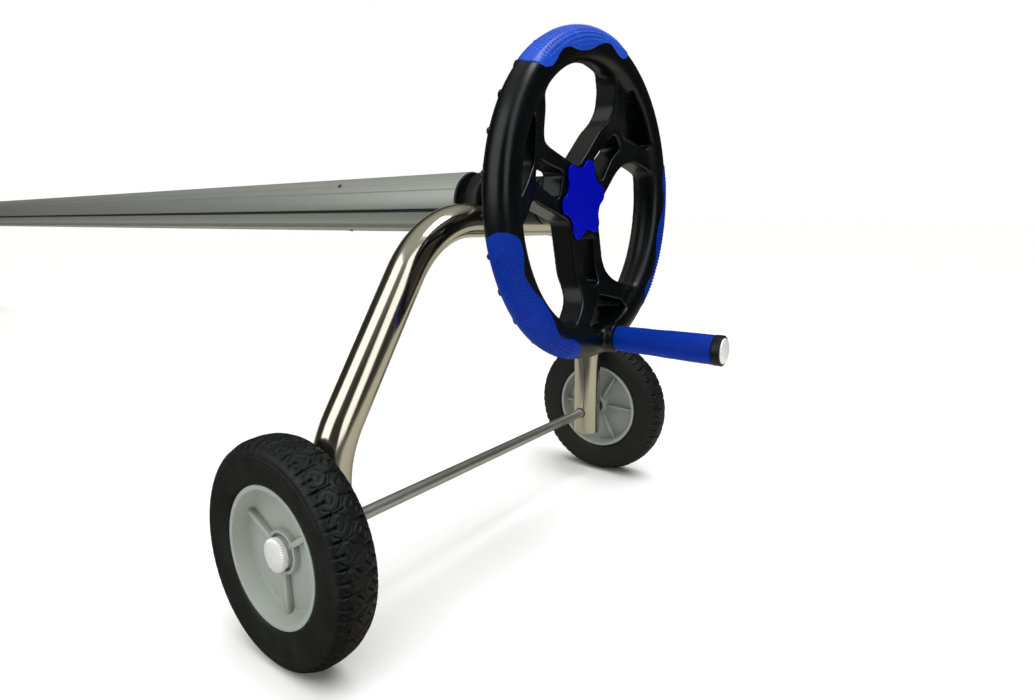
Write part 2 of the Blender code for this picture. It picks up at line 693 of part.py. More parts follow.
def wheel_opening(angle):
    """Outline one of the large openings, whose middle lies at the given angle.

    Its sides follow the spokes out from the hub, then turn at a knee and run parallel to the rim,
    so that each spoke flares where it meets the rim.
    """
    half_step = math.radians(SPOKE_STEP / 2)
    outer = RIM_INNER + OPENING_UNDERCUT
    hub_corner = SPOKE_WIDTH / 2 / math.sin(half_step)
    knee = hub_corner + OPENING_HALF_WIDTH / math.tan(half_step)
    swing = math.degrees(math.asin(OPENING_HALF_WIDTH / outer))
    rim_arc = arc((0.0, 0.0), outer, angle - swing, angle + swing, OPENING_ARC_STEPS)
    hub = polar(hub_corner, angle)
    knees = [spoke_frame(angle, knee, -OPENING_HALF_WIDTH), spoke_frame(angle, knee, OPENING_HALF_WIDTH)]
    corners = [hub, rise_point(hub, knees[0]), knees[0]] + rim_arc + [knees[1], rise_point(hub, knees[1])]
    fillets = [OPENING_HUB_FILLET, 0.0, OPENING_KNEE_FILLET, OPENING_RIM_FILLET]
    fillets += [0.0] * (OPENING_ARC_STEPS - 1) + [OPENING_RIM_FILLET, OPENING_KNEE_FILLET, 0.0]
    return filleted(corners, fillets)


def wheel_slot(angle):
    """Outline the slot through one spoke beside the hub; it narrows outward."""
    inner = SLOT_INNER_WIDTH / 2
    outer = SLOT_OUTER_WIDTH / 2
    far = SLOT_START + SLOT_LENGTH
    sides = [(SLOT_START, -inner), (far, -outer), (far, outer), (SLOT_START, inner)]
    corners = [spoke_frame(angle, *point) for point in sides]
    corners = [corners[0], rise_point(*corners[:2]), *corners[1:3], rise_point(corners[3], corners[2]), corners[3]]
    return filleted(corners, [SLOT_FILLET, 0.0, SLOT_FILLET, SLOT_FILLET, 0.0, SLOT_FILLET])


def wheel_window(angle):
    """Outline the window where one spoke flares into the rim: a point toward the hub, and a rim arc."""
    half = WINDOW_WIDTH / 2
    side = WINDOW_START + WINDOW_SIDE_LENGTH
    swing = math.degrees(math.asin(half / WINDOW_END))
    corners = [spoke_frame(angle, WINDOW_START, 0.0), spoke_frame(angle, side, -half)]
    corners += arc((0.0, 0.0), WINDOW_END, angle - swing, angle + swing, WINDOW_ARC_STEPS)
    corners.append(spoke_frame(angle, side, half))
    fillets = [WINDOW_FILLET, WINDOW_SIDE_FILLET] + [0.0] * (WINDOW_ARC_STEPS + 1) + [WINDOW_SIDE_FILLET]
    return filleted(corners, fillets)


def make_wheel_plate():
    """Make the dished plate of the hand wheel: the hub and three spokes with their slots."""
    outlines = [arc((0.0, 0.0), RIM_LIP - TOUCH, 0.0, 360.0 - 360.0 / ROUND_LARGE, ROUND_LARGE - 1)]
    for index in range(SPOKE_COUNT):
        angle = SPOKE_START + index * SPOKE_STEP
        outlines.append(wheel_opening(angle + SPOKE_STEP / 2))
        outlines.append(wheel_slot(angle))
    plate = flat_outline("hand_wheel_body", outlines, SPOKE_DEPTH, EDGE_ROUND)
    plate = facing_plate(plate, SPOKE_FRONT - SPOKE_DEPTH / 2)
    for vert in plate.data.vertices:
        radius = math.hypot(vert.co.y, vert.co.z - TUBE_AXIS_HEIGHT)
        vert.co.x += spoke_rise(radius)
    return plate


def crank_place(along):
    """Return the world place of a point on the crank handle's axis."""
    return on_reel(along, CRANK_ARM, CRANK_ANGLE)


def make_grips(wheel):
    """Make the three grips over the rim and cut their beds in the wheel."""
    first = seam_angle() + GRIP_SEAM_OFFSET
    sweep = GRIP_INNER_EDGE - first
    angles = [first + sweep * step / GRIP_SECTION_STEPS for step in range(GRIP_SECTION_STEPS + 1)]
    skin = [rim_section(angle, -GRIP_PROUD) for angle in angles]
    bed = [rim_section(angle, GRIP_INSET) for angle in angles]
    axis = (1, 0, 0)
    place = on_reel(0.0)
    slack = math.degrees(TOUCH / RIM_MID)
    wide = [first - math.degrees(TOUCH / RIM_SECTION_RADIAL * 2)] + angles[1:-1]
    wide.append(GRIP_INNER_EDGE + math.degrees(TOUCH / RIM_SECTION_RADIAL * 2))
    outside = [rim_section(angle, -3 * GRIP_PROUD) for angle in wide]
    inside = [rim_section(angle, GRIP_INSET + TOUCH) for angle in wide]
    for index, label in enumerate(("top", "near", "far")):
        start = GRIP_START + index * SPOKE_STEP
        cutter = turned(f"{label}_grip_bed", outside + inside[::-1], axis, place, GRIP_STEPS,
                        GRIP_SPAN + 2 * slack, start - slack)
        wheel = combine(wheel, [cutter], "DIFFERENCE")
        grip = turned(f"{label}_rim_grip", skin + bed[::-1], axis, place, GRIP_STEPS, GRIP_SPAN, start)
        finish(set_origin(grip, place), BLUE)
    return wheel


def make_hand_wheel():
    """Make the hand wheel's front body, back shell, grips and the screws in its back."""
    plate = make_wheel_plate()
    first = seam_angle()
    last = lip_angle()
    skin = [rim_section(first + (last - first) * step / RIM_STEPS) for step in range(RIM_STEPS + 1)]
    profile = skin + [(RIM_LIP, RIM_SEAM)]
    rim = turned("hand_wheel_rim", profile, (1, 0, 0), on_reel(0.0))
    body = combine(plate, [rim], "UNION")
    boss = rod("hand_wheel_boss", WHEEL_BOSS_RADIUS, on_reel(WHEEL_BOSS_START),
               on_reel(HUB_BACK + EDGE_ROUND + JOIN_DEPTH), turn=90.0 / ROUND_SMALL)
    crank_boss = rod("crank_boss", CRANK_BOSS_RADIUS, crank_place(RIM_SEAM + EDGE_ROUND),
                     crank_place(CRANK_BOSS_REACH), chamfer=SMALL_CHAMFER, turn=90.0 / ROUND_SMALL)
    body = combine(body, [boss, crank_boss], "UNION")
    windows = []
    for index in range(SPOKE_COUNT):
        outline = wheel_window(SPOKE_START + index * SPOKE_STEP)
        window = flat_outline(f"window_{index}", [outline], 3 * SPOKE_DEPTH)
        windows.append(facing_plate(window, SPOKE_FRONT))
    body = combine(body, windows, "DIFFERENCE")
    bore = rod("shaft_bore", SHAFT_RADIUS + TOUCH, on_reel(BARREL_REACH), on_reel(SPOKE_FRONT))
    spindle_hole = rod("spindle_hole", CRANK_SPINDLE_RADIUS + TOUCH, crank_place(CRANK_SPINDLE_START),
                       crank_place(CRANK_BOSS_REACH + CUT_PAST))
    knob_bed = rod("knob_bed", KNOB_BED_RADIUS, on_reel(HUB_FACE), on_reel(SPOKE_FRONT + CUT_PAST))
    knob_room = rod("knob_room", KNOB_RADIUS + RUN_GAP, on_reel(SPOKE_FRONT + KNOB_PLATE_GAP / 2),
                    on_reel(SPOKE_FRONT + SPOKE_RISE))
    body = combine(body, [bore, spindle_hole, knob_bed, knob_room], "DIFFERENCE")
    body = make_grips(body)
    finish(set_origin(body, on_reel(0.0)), BLACK)
    shell_inner = RIM_LIP + TOUCH
    shell_first = seam_angle()
    back_first = last - 360.0
    sweep = back_first - shell_first
    back_skin = [rim_section(shell_first + sweep * step / SHELL_STEPS) for step in range(SHELL_STEPS + 1)]
    inner_along = back_skin[-1][1]
    shell_skin = [(max(radius, shell_inner), min(along, RIM_SEAM - TOUCH)) for radius, along in back_skin]
    profile = [(shell_inner, RIM_SEAM - TOUCH)] + shell_skin
    shell = turned("hand_wheel_back_shell", profile, (1, 0, 0), on_reel(0.0))
    ridges = []
    for index in range(RIDGE_COUNT):
        angle = (index + 0.5) * 360.0 / RIDGE_COUNT
        ridges.append(make_ridge(f"ridge_{index}", angle, inner_along))
    shell = combine(shell, [gathered("ridges", ridges)], "UNION")
    finish(set_origin(shell, on_reel(0.0)), BLACK)
    for index in range(SHELL_SCREW_COUNT):
        wanted = SPOKE_START + 30.0 + index * 360.0 / SHELL_SCREW_COUNT
        ridge_step = 360.0 / RIDGE_COUNT
        angle = ridge_step * round(wanted / ridge_step)
        foot = on_reel(RIM_BACK - TOUCH, RIM_MID, angle)
        tip = on_reel(RIM_BACK - TOUCH - SHELL_SCREW_HEAD, RIM_MID, angle)
        head = rod(f"hand_wheel_screw_{index + 1}", SHELL_SCREW_RADIUS, foot, tip, ROUND_TINY,
                   chamfer=SMALL_CHAMFER)
        finish(set_origin(head, foot), STEEL)


def make_ridge(name, angle, inner_along):
    """Make one finger ridge across the back of the rim, standing proud of it."""
    shaped = bmesh.new()
    bmesh.ops.create_cube(shaped, size=1.0)
    depth = inner_along - RIM_BACK + 2 * RIDGE_HEIGHT
    size = Matrix.Diagonal((RIDGE_OUTER - RIDGE_INNER, RIDGE_WIDTH, depth, 1.0))
    middle = Matrix.Translation(((RIDGE_INNER + RIDGE_OUTER) / 2, 0.0, RIM_BACK - RIDGE_HEIGHT + depth / 2))
    spin = Matrix.Rotation(math.radians(angle), 4, "Z")
    place = axis_matrix((1, 0, 0), on_reel(0.0))
    bmesh.ops.transform(shaped, matrix=place @ spin @ middle @ size, verts=shaped.verts)
    data = bpy.data.meshes.new(name)
    shaped.to_mesh(data)
    shaped.free()
    return add_object(name, data)


def gathered(name, pieces):
    """Put several separate solids in one mesh, to join them to another piece in one step."""
    shaped = bmesh.new()
    for piece in pieces:
        shaped.from_mesh(piece.data)
        bpy.data.objects.remove(piece, do_unlink=True)
    data = bpy.data.meshes.new(name)
    shaped.to_mesh(data)
    shaped.free()
    return add_object(name, data)


def make_knob():
    """Make the star knob that clamps the hand wheel, a lobed plate on a boss, and its washer."""
    washer_start = HUB_FACE + TOUCH
    washer_end = washer_start + WASHER_THICKNESS
    washer = rod("knob_washer", WASHER_RADIUS, on_reel(washer_start), on_reel(washer_end),
                 bore=STUD_RADIUS + TOUCH)
    finish(set_origin(washer, on_reel(washer_start)), STEEL)
    mean = (KNOB_RADIUS + KNOB_VALLEY) / 2
    swell = (KNOB_RADIUS - KNOB_VALLEY) / 2
    outline = []
    count = KNOB_LOBES * KNOB_LOBE_STEPS
    for index in range(count):
        angle = 360.0 * index / count
        wave = math.cos(math.radians(KNOB_LOBES * (angle - KNOB_TURN)))
        outline.append(polar(mean + swell * wave, angle))
    knob = facing_plate(flat_outline("star_knob", [outline], KNOB_FRONT - KNOB_PLATE_START, KNOB_EDGE),
                        (KNOB_FRONT + KNOB_PLATE_START) / 2)
    boss = rod("knob_boss", KNOB_BOSS_RADIUS, on_reel(KNOB_START), on_reel(KNOB_PLATE_START + JOIN_DEPTH))
    knob = combine(knob, [boss], "UNION")
    hole = rod("knob_hole", STUD_RADIUS + TOUCH, on_reel(KNOB_START - CUT_PAST),
               on_reel(KNOB_START + KNOB_HOLE_DEPTH))
    knob = combine(knob, [hole], "DIFFERENCE")
    finish(set_origin(knob, on_reel(KNOB_START)), BLUE)


def make_crank():
    """Make the turning handle: a steel spindle, a sleeve, an end ring and a domed cap."""
    arm_axis = (1, 0, 0)
    spindle_end = CRANK_RING_START + CRANK_RING_LENGTH - CRANK_SPINDLE_SHORT
    spindle = rod("crank_spindle", CRANK_SPINDLE_RADIUS, crank_place(CRANK_SPINDLE_START + TOUCH),
                  crank_place(spindle_end))
    finish(set_origin(spindle, on_reel(0.0)), STEEL)
    bore = CRANK_SPINDLE_RADIUS + TOUCH
    length = CRANK_SLEEVE_LENGTH
    root = CRANK_SLEEVE_ROOT
    tip = CRANK_SLEEVE_TIP
    edge = SMALL_CHAMFER
    profile = [(bore, length), (tip - edge, length), (tip, length - edge), (root, CRANK_SLEEVE_NECK)]
    profile += [(root, edge), (root - edge, 0.0), (bore, 0.0)]
    sleeve = turned("crank_sleeve", profile, arm_axis, crank_place(CRANK_SLEEVE_START), ROUND_SMALL)
    finish(set_origin(sleeve, crank_place(CRANK_SLEEVE_START)), BLUE)
    length = CRANK_RING_LENGTH
    outer = CRANK_RING_RADIUS
    inner = CRANK_CAP_RADIUS + TOUCH
    seat = length - CRANK_CAP_SEAT
    profile = [(inner, length - edge), (inner + edge, length), (outer - edge, length)]
    profile += [(outer, length - edge), (outer, edge), (outer - edge, 0.0), (bore, 0.0)]
    profile += [(bore, seat), (inner, seat)]
    ring = turned("crank_end_ring", profile, arm_axis, crank_place(CRANK_RING_START), ROUND_SMALL)
    finish(set_origin(ring, crank_place(CRANK_RING_START)), BLACK)
    cap_start = CRANK_RING_START + seat + TOUCH
    profile = domed(CRANK_CAP_RADIUS, CRANK_CAP_SIDE, CRANK_TIP - cap_start)
    profile += [(CRANK_CAP_RADIUS, 0.0), (0.0, 0.0)]
    cap = turned("crank_end_cap", profile, arm_axis, crank_place(cap_start), ROUND_SMALL)
    finish(set_origin(cap, crank_place(cap_start)), STAINLESS)


def make_reel_tube():
    """Extrude the reel tube with its shallow strap grooves."""
    inner_radius = TUBE_RADIUS - TUBE_WALL
    half_groove = math.degrees(GROOVE_WIDTH / 2 / TUBE_RADIUS)
    spacing = 360.0 / GROOVE_COUNT
    outline = []
    for index in range(GROOVE_COUNT):
        groove = GROOVE_START + index * spacing
        outline.append(polar(TUBE_RADIUS - GROOVE_DEPTH, groove - half_groove))
        outline.append(polar(TUBE_RADIUS - GROOVE_DEPTH, groove + half_groove))
        outline += arc((0.0, 0.0), TUBE_RADIUS, groove + half_groove, groove + spacing - half_groove,
                       ROUND_LARGE // GROOVE_COUNT)
    bore = arc((0.0, 0.0), inner_radius, 0.0, 360.0 - 360.0 / ROUND_LARGE, ROUND_LARGE - 1)
    tube = flat_outline("reel_tube", [outline, bore], TUBE_LENGTH)
    tube = facing_plate(tube, -STAND_SPACING / 2)
    finish(set_origin(tube, on_reel(-STAND_SPACING / 2)), ALUMINIUM)


def make_tube_end(prefix, stand_x, side):
    """Make the plug in one end of the tube; side is +1 at the drive end."""
    outer_face = stand_x - side * STAND_CLEAR
    tube_face = outer_face - side * (PLUG_FLANGE + TOUCH)
    place = (outer_face, 0.0, TUBE_AXIS_HEIGHT)
    bore = SHAFT_RADIUS + TOUCH
    spigot = TUBE_RADIUS - TUBE_WALL - TOUCH
    rim = PLUG_FLANGE_RADIUS
    profile = [(bore, 0.0), (rim - SMALL_CHAMFER, 0.0), (rim, SMALL_CHAMFER), (rim, PLUG_FLANGE)]
    profile += [(spigot, PLUG_FLANGE), (spigot, PLUG_INSERT), (bore, PLUG_INSERT)]
    plug = turned(prefix + "_tube_plug", profile[::-1], (-side, 0, 0), place, ROUND_SMALL)
    finish(set_origin(plug, place), BLACK)
    along = tube_face - side * RIVET_SETBACK - DRIVE_X
    for index in range(RIVET_COUNT):
        angle = RIVET_ANGLE + index * 360.0 / RIVET_COUNT
        foot = on_reel(along, TUBE_RADIUS + TOUCH, angle)
        tip = on_reel(along, TUBE_RADIUS + TOUCH + RIVET_HEAD, angle)
        head = rod(f"{prefix}_tube_rivet_{index + 1}", RIVET_RADIUS, foot, tip, ROUND_TINY,
                   chamfer=SMALL_CHAMFER)
        finish(set_origin(head, foot), STEEL)


def make_shafts():
    """Make the drive shaft with its knob stud, and the idle shaft with its retaining cap."""
    start = -(STAND_CLEAR + SHAFT_INSERT)
    shoulder = HUB_FACE - TOUCH
    length = STUD_END - start
    step = shoulder - start
    edge = SMALL_CHAMFER
    profile = [(0.0, length), (STUD_RADIUS - edge, length), (STUD_RADIUS, length - edge)]
    profile += [(STUD_RADIUS, step), (SHAFT_RADIUS - edge, step), (SHAFT_RADIUS, step - edge)]
    profile += [(SHAFT_RADIUS, 0.0), (0.0, 0.0)]
    drive = turned("drive_shaft", profile, (1, 0, 0), on_reel(start), ROUND_SMALL)
    finish(set_origin(drive, on_reel(start)), STEEL)
    face = IDLE_X - STAND_CLEAR
    inner_end = IDLE_X + STAND_CLEAR + SHAFT_INSERT
    shaft_end = face - IDLE_CAP_HEIGHT + IDLE_CAP_WALL + TOUCH
    idle = rod("idle_shaft", SHAFT_RADIUS, (shaft_end, 0.0, TUBE_AXIS_HEIGHT),
               (inner_end, 0.0, TUBE_AXIS_HEIGHT))
    finish(set_origin(idle, (face, 0.0, TUBE_AXIS_HEIGHT)), STEEL)
    bore = SHAFT_RADIUS + TOUCH
    inner_top = IDLE_CAP_HEIGHT - IDLE_CAP_WALL
    profile = domed(IDLE_CAP_RADIUS, IDLE_CAP_SIDE, IDLE_CAP_HEIGHT)
    profile += [(IDLE_CAP_RADIUS, 0.0), (bore, 0.0), (bore, inner_top), (0.0, inner_top)]
    cap = turned("idle_shaft_cap", profile, (-1, 0, 0), (face, 0.0, TUBE_AXIS_HEIGHT), ROUND_SMALL)
    finish(set_origin(cap, (face, 0.0, TUBE_AXIS_HEIGHT)), BLACK)


def make_feet():
    """Make the rubber feet pushed on to the legs of the idle stand."""
    bore = STAND_TUBE_RADIUS + TOUCH
    profile = [(0.0, FOOT_SOLE - TOUCH), (bore, FOOT_SOLE - TOUCH), (bore, FOOT_HEIGHT)]
    profile += [(FOOT_RADIUS - FOOT_EDGE, FOOT_HEIGHT), (FOOT_RADIUS, FOOT_HEIGHT - FOOT_EDGE)]
    profile += [(FOOT_RADIUS, FOOT_EDGE), (FOOT_RADIUS - FOOT_EDGE, 0.0), (0.0, 0.0)]
    for side, label in ((-1, "near"), (1, "far")):
        place = (IDLE_X, side * LEG_HALF_SPREAD, 0.0)
        foot = turned(label + "_foot", profile, (0, 0, 1), place, ROUND_SMALL)
        finish(set_origin(foot, place), RUBBER)


def make_stands():
    """Make both stands: the drive stand on wheels and the idle stand on feet."""
    drive, seat = make_stand("drive_stand", DRIVE_X, AXLE_HEIGHT - LEG_OVERHANG)
    hole_end = LEG_HALF_SPREAD + 2 * STAND_TUBE_RADIUS
    hole = rod("axle_hole", AXLE_RADIUS + TOUCH, (DRIVE_X, -hole_end, AXLE_HEIGHT),
               (DRIVE_X, hole_end, AXLE_HEIGHT))
    drive = combine(drive, [seat, hole], "DIFFERENCE")
    finish(drive, STAINLESS)
    idle, seat = make_stand("idle_stand", IDLE_X, FOOT_SOLE)
    idle = combine(idle, [seat], "DIFFERENCE")
    finish(idle, STAINLESS)


def main():
    """Build every piece of the reel."""
    make_stands()
    make_axle()
    make_wheel("near", -1, RIB_START)
    make_wheel("far", 1, RIB_START)
    make_feet()
    make_bearing("drive", DRIVE_X, 1)
    make_bearing("idle", IDLE_X, -1)
    make_reel_tube()
    make_tube_end("drive", DRIVE_X, 1)
    make_tube_end("idle", IDLE_X, -1)
    make_hand_wheel()
    make_knob()
    make_shafts()
    make_crank()


main()
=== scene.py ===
"""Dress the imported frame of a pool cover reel: stands, wheels, tube, hand wheel, knob and crank grip."""

import functools
import logging
import math
from collections.abc import Callable, Sequence
from dataclasses import dataclass
from enum import Enum

import bmesh
import bpy
import numpy as np
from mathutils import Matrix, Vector


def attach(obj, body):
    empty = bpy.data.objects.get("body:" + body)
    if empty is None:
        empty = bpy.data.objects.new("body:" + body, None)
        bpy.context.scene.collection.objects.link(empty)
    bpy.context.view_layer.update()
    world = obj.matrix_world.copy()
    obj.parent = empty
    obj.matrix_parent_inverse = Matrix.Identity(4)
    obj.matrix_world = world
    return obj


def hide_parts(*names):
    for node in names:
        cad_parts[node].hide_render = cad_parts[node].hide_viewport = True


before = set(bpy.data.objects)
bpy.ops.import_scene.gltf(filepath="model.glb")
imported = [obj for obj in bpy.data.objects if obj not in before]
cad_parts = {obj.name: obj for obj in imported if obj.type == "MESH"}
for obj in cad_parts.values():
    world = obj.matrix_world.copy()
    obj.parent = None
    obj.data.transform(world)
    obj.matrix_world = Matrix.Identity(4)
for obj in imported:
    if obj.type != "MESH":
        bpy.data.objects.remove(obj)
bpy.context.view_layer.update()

log = logging.getLogger("reel")
Array = np.ndarray
Point = tuple[float, float, float]
Colour = tuple[float, float, float]

# Sizes are in metres and angles in degrees, unless a docstring says otherwise
GAP = 0.0003
DRIVE_X = 1.4955
IDLE_X = -1.7551
REEL_HEIGHT = 0.440
AXLE_HEIGHT = 0.110
HALF_SPREAD = 0.254
STAND_RADIUS = 0.021
SHAFT_RADIUS = 0.009
AXLE_RADIUS = 0.007
STUD_HOLE = 0.0053
CRANK_RADIUS = 0.160
CRANK_ANGLE = -80.5
MERGE_DISTANCE = 2e-6
SMALLEST_EDGE = 1e-7


class Body(Enum):
    """The moving bodies of the frame that pieces ride on."""

    STANDS = "stands"
    REEL = "reel"
    KNOB = "knob"
    CRANK_GRIP = "crank_grip"
    NEAR_WHEEL = "near_wheel"
    FAR_WHEEL = "far_wheel"


class Slot(Enum):
    """The record's material slots."""

    ALUMINIUM = "aluminium"
    STAINLESS = "stainless"
    STEEL = "steel"
    BLACK_PLASTIC = "black_plastic"
    BLUE_GRIP = "blue_grip"
    RUBBER = "rubber"
    GREY_PLASTIC = "grey_plastic"
    NYLON = "nylon"


# Surfaces

@dataclass
class Shell:
    """A closed surface: its points, its four-cornered faces and a UV pair in metres for each corner."""

    points: Array
    faces: Array
    uv: Array

    def outward(self) -> "Shell":
        """Turn the faces outward, by the sign of the volume that they enclose.

        Returns:
            This shell, or one with its faces turned round.
        """
        middle = self.points.mean(axis=0)
        a, b, c, d = (self.points[self.faces[:, k]] - middle for k in range(4))
        volume = np.einsum("ij,ij->i", a, np.cross(b, c)) + np.einsum("ij,ij->i", a, np.cross(c, d))
        if volume.sum() >= 0.0:
            return self
        return Shell(self.points, self.faces[:, ::-1], self.uv[:, ::-1])


@dataclass(frozen=True)
class Axis:
    """A line in the object's frame, with the direction from which angles round it are measured."""

    place: Point
    along: Point
    start: Point

    def bases(self) -> tuple[Array, Array, Array]:
        """Work out the axis's own three directions.

        Returns:
            The unit vectors along the axis, at angle 0 and at angle 90.
        """
        along = np.array(self.along, float) / np.linalg.norm(self.along)
        first = np.array(self.start, float)
        first = first - along * (first @ along)
        first /= np.linalg.norm(first)
        return along, first, np.cross(along, first)

    def carry(self, radius: Array, distance: Array, angle: Array) -> Array:
        """Place points given by their radius, their distance along the axis and their angle.

        Args:
            radius: Distance from the axis in metres.
            distance: Distance along the axis in metres.
            angle: Angle round the axis in radians.

        Returns:
            Points, with one more dimension than the arguments.
        """
        along, first, second = self.bases()
        radius, distance, angle = np.broadcast_arrays(radius, distance, angle)
        out = np.cos(angle)[..., None] * first + np.sin(angle)[..., None] * second
        return np.array(self.place) + distance[..., None] * along + radius[..., None] * out


def reel_axis(distance: float = 0.0, radius: float = 0.0, angle: float = 0.0,
              stand_x: float = DRIVE_X) -> Axis:
    """Return the reel's axis, or one parallel to it, with angles from +Y toward +Z.

    Args:
        distance: Distance toward +X from the stand.
        radius: Distance of a parallel axis from the tube's axis.
        angle: Angle in degrees at which the parallel axis lies.
        stand_x: X of the stand that the distance is taken from.

    Returns:
        The axis.
    """
    turn = math.radians(angle)
    place = (stand_x + distance, radius * math.cos(turn), REEL_HEIGHT + radius * math.sin(turn))
    return Axis(place, (1, 0, 0), (0, 1, 0))


def grid_shell(points: Array, wrap_rows: bool, wrap_columns: bool = True) -> Shell:
    """Join a grid of points into four-cornered faces, with UV as the distance run along rows and columns.

    Args:
        points: Array of rows by columns by 3.
        wrap_rows: Whether the last row joins the first.
        wrap_columns: Whether the last column joins the first.

    Returns:
        The shell, turned outward.
    """
    rows, columns = points.shape[:2]
    spare = points[:, : max(1, columns // 2)]
    down = np.linalg.norm(np.roll(points, -1, axis=0) - points, axis=2).mean(axis=1)
    across = np.linalg.norm(np.roll(spare, -1, axis=1) - spare, axis=2)[:, :-1].max(initial=0.0)
    step = np.linalg.norm(np.roll(points, -1, axis=1) - points, axis=2).max(axis=0)
    u = np.concatenate([[0.0], np.cumsum(down)])
    v = np.concatenate([[0.0], np.cumsum(np.minimum(step, max(across, 1e-6) * 4))])
    i, j = np.meshgrid(np.arange(rows if wrap_rows else rows - 1),
                       np.arange(columns if wrap_columns else columns - 1), indexing="ij")
    corners = [(i, j), (i + 1, j), (i + 1, j + 1), (i, j + 1)]
    faces = np.stack([(a % rows) * columns + b % columns for a, b in corners], axis=-1).reshape(-1, 4)
    uv = np.stack([np.stack([u[a], v[b]], axis=-1) for a, b in corners], axis=2).reshape(-1, 4, 2)
    return Shell(points.reshape(-1, 3), faces, uv).outward()


def rounded(corners: Sequence[tuple[float, float]], radii: Sequence[float] | float, closed: bool = True,
            steps: int = 5) -> Array:
    """Round the corners of a polygon or an open line with arcs that touch both sides.

    Each arc starts and ends where a circle of the corner's radius touches the two sides, and is drawn
    as a quadratic curve between them. A radius is cut down where the sides are too short for it.

    Args:
        corners: The corner points.
        radii: One radius for all corners, or one for each.
        closed: Whether the last point joins the first.
        steps: Number of points that replace a rounded corner, less one.

    Returns:
        An array of points.
    """
    points = np.array(corners, float)
    count = len(points)
    radii = [radii] * count if isinstance(radii, (int, float)) else list(radii)
    share = np.linspace(0.0, 1.0, steps + 1)[:, None]
    made = []
    for k, radius in enumerate(radii):
        here = points[k]
        if radius <= 0.0 or (not closed and k in (0, count - 1)):
            made.append(here[None])
            continue
        before, after = points[k - 1] - here, points[(k + 1) % count] - here
        lengths = np.linalg.norm(before), np.linalg.norm(after)
        before, after = before / lengths[0], after / lengths[1]
        half = math.acos(float(np.clip(before @ after, -1.0, 1.0))) / 2
        reach = min(radius / max(math.tan(half), 1e-6), 0.49 * min(lengths))
        first, last = here + before * reach, here + after * reach
        weight = math.sin(half)
        bottom = (1 - share) ** 2 + 2 * weight * share * (1 - share) + share ** 2
        top = (1 - share) ** 2 * first + 2 * weight * share * (1 - share) * here + share ** 2 * last
        made.append(top / bottom)
    return np.concatenate(made)


def respaced(line: Array, spacing: Callable[[Array], Array], closed: bool = True) -> Array:
    """Share points out anew along a line, so that their distance follows a wanted spacing.

    Args:
        line: Points of the line.
        spacing: Gives the wanted distance in metres between points, for an array of points.
        closed: Whether the last point joins the first.

    Returns:
        The new points.
    """
    loop = np.vstack([line, line[:1]]) if closed else line
    length = np.concatenate([[0.0], np.cumsum(np.linalg.norm(np.diff(loop, axis=0), axis=1))])
    fine = np.linspace(0.0, length[-1], 4000)
    dense = np.stack([np.interp(fine, length, loop[:, k]) for k in range(loop.shape[1])], axis=1)
    need = np.concatenate([[0.0], np.cumsum(np.diff(fine) / spacing(dense[:-1]))])
    count = max(8, int(round(need[-1])))
    wanted = np.linspace(0.0, need[-1], count + 1)
    place = np.interp(wanted, need, fine)
    made = np.stack([np.interp(place, fine, dense[:, k]) for k in range(loop.shape[1])], axis=1)
    return made[:-1] if closed else made


def even(line: Array, spacing: float) -> Array:
    """Share an open profile's points out evenly, and keep both of its ends on the axis.

    Args:
        line: The profile.
        spacing: Distance between its points.

    Returns:
        The new profile.
    """
    made = respaced(line, lambda at: np.full(len(at), spacing), closed=False)
    made[0, 0] = made[-1, 0] = 0.0
    return made


Relief = Callable[[Array, Array, Array], Array]


def turned(profile: Array, axis: Axis, steps: int, closed: bool = True,
           relief: Relief | None = None) -> Shell:
    """Turn a profile round an axis.

    A point is profile(row) carried to angle 360 x column / steps. Where a relief is given, it is moved
    out along the profile's own normal by relief(radius, distance, angle).

    Args:
        profile: Points as (radius, distance along the axis); an open profile starts and ends on the axis.
        axis: The axis.
        steps: Number of columns round the axis.
        closed: Whether the profile is a closed loop.
        relief: Height in metres over the turned surface, for arrays of radius, distance and angle.

    Returns:
        The shell.
    """
    angle = np.arange(steps) * (2 * math.pi / steps)
    radius, distance = profile[:, :1], profile[:, 1:]
    if relief is not None:
        ahead = np.roll(profile, -1, axis=0)
        behind = np.roll(profile, 1, axis=0)
        if not closed:
            ahead[-1], behind[0] = profile[-1], profile[0]
        run = ahead - behind
        run /= np.maximum(np.linalg.norm(run, axis=1, keepdims=True), 1e-9)
        near = np.roll(profile, -1, axis=0)
        area = (profile[:, 0] * near[:, 1] - near[:, 0] * profile[:, 1]).sum()
        normal = np.stack([run[:, 1], -run[:, 0]], axis=1) * (1.0 if area > 0 else -1.0)
        height = relief(*np.broadcast_arrays(radius, distance, angle[None]))
        radius = np.maximum(radius + normal[:, :1] * height, 0.0)
        distance = distance + normal[:, 1:] * height
    return grid_shell(axis.carry(radius, distance, angle[None]), wrap_rows=closed)


def rod_profile(radius: float, start: float, end: float, edge: float = 0.0008, bore: float = 0.0) -> Array:
    """Give the profile of a rod or a sleeve.

    Args:
        radius: Its radius.
        start: Where it starts along the axis.
        end: Where it ends.
        edge: Radius of its rounded edges.
        bore: Radius of the hole through it, or 0.

    Returns:
        A closed profile for a sleeve, or an open one from axis to axis for a rod.
    """
    if bore > 0.0:
        return rounded([(bore, start), (radius, start), (radius, end), (bore, end)], edge)
    return rounded([(0.0, start), (radius, start), (radius, end), (0.0, end)], edge, closed=False)


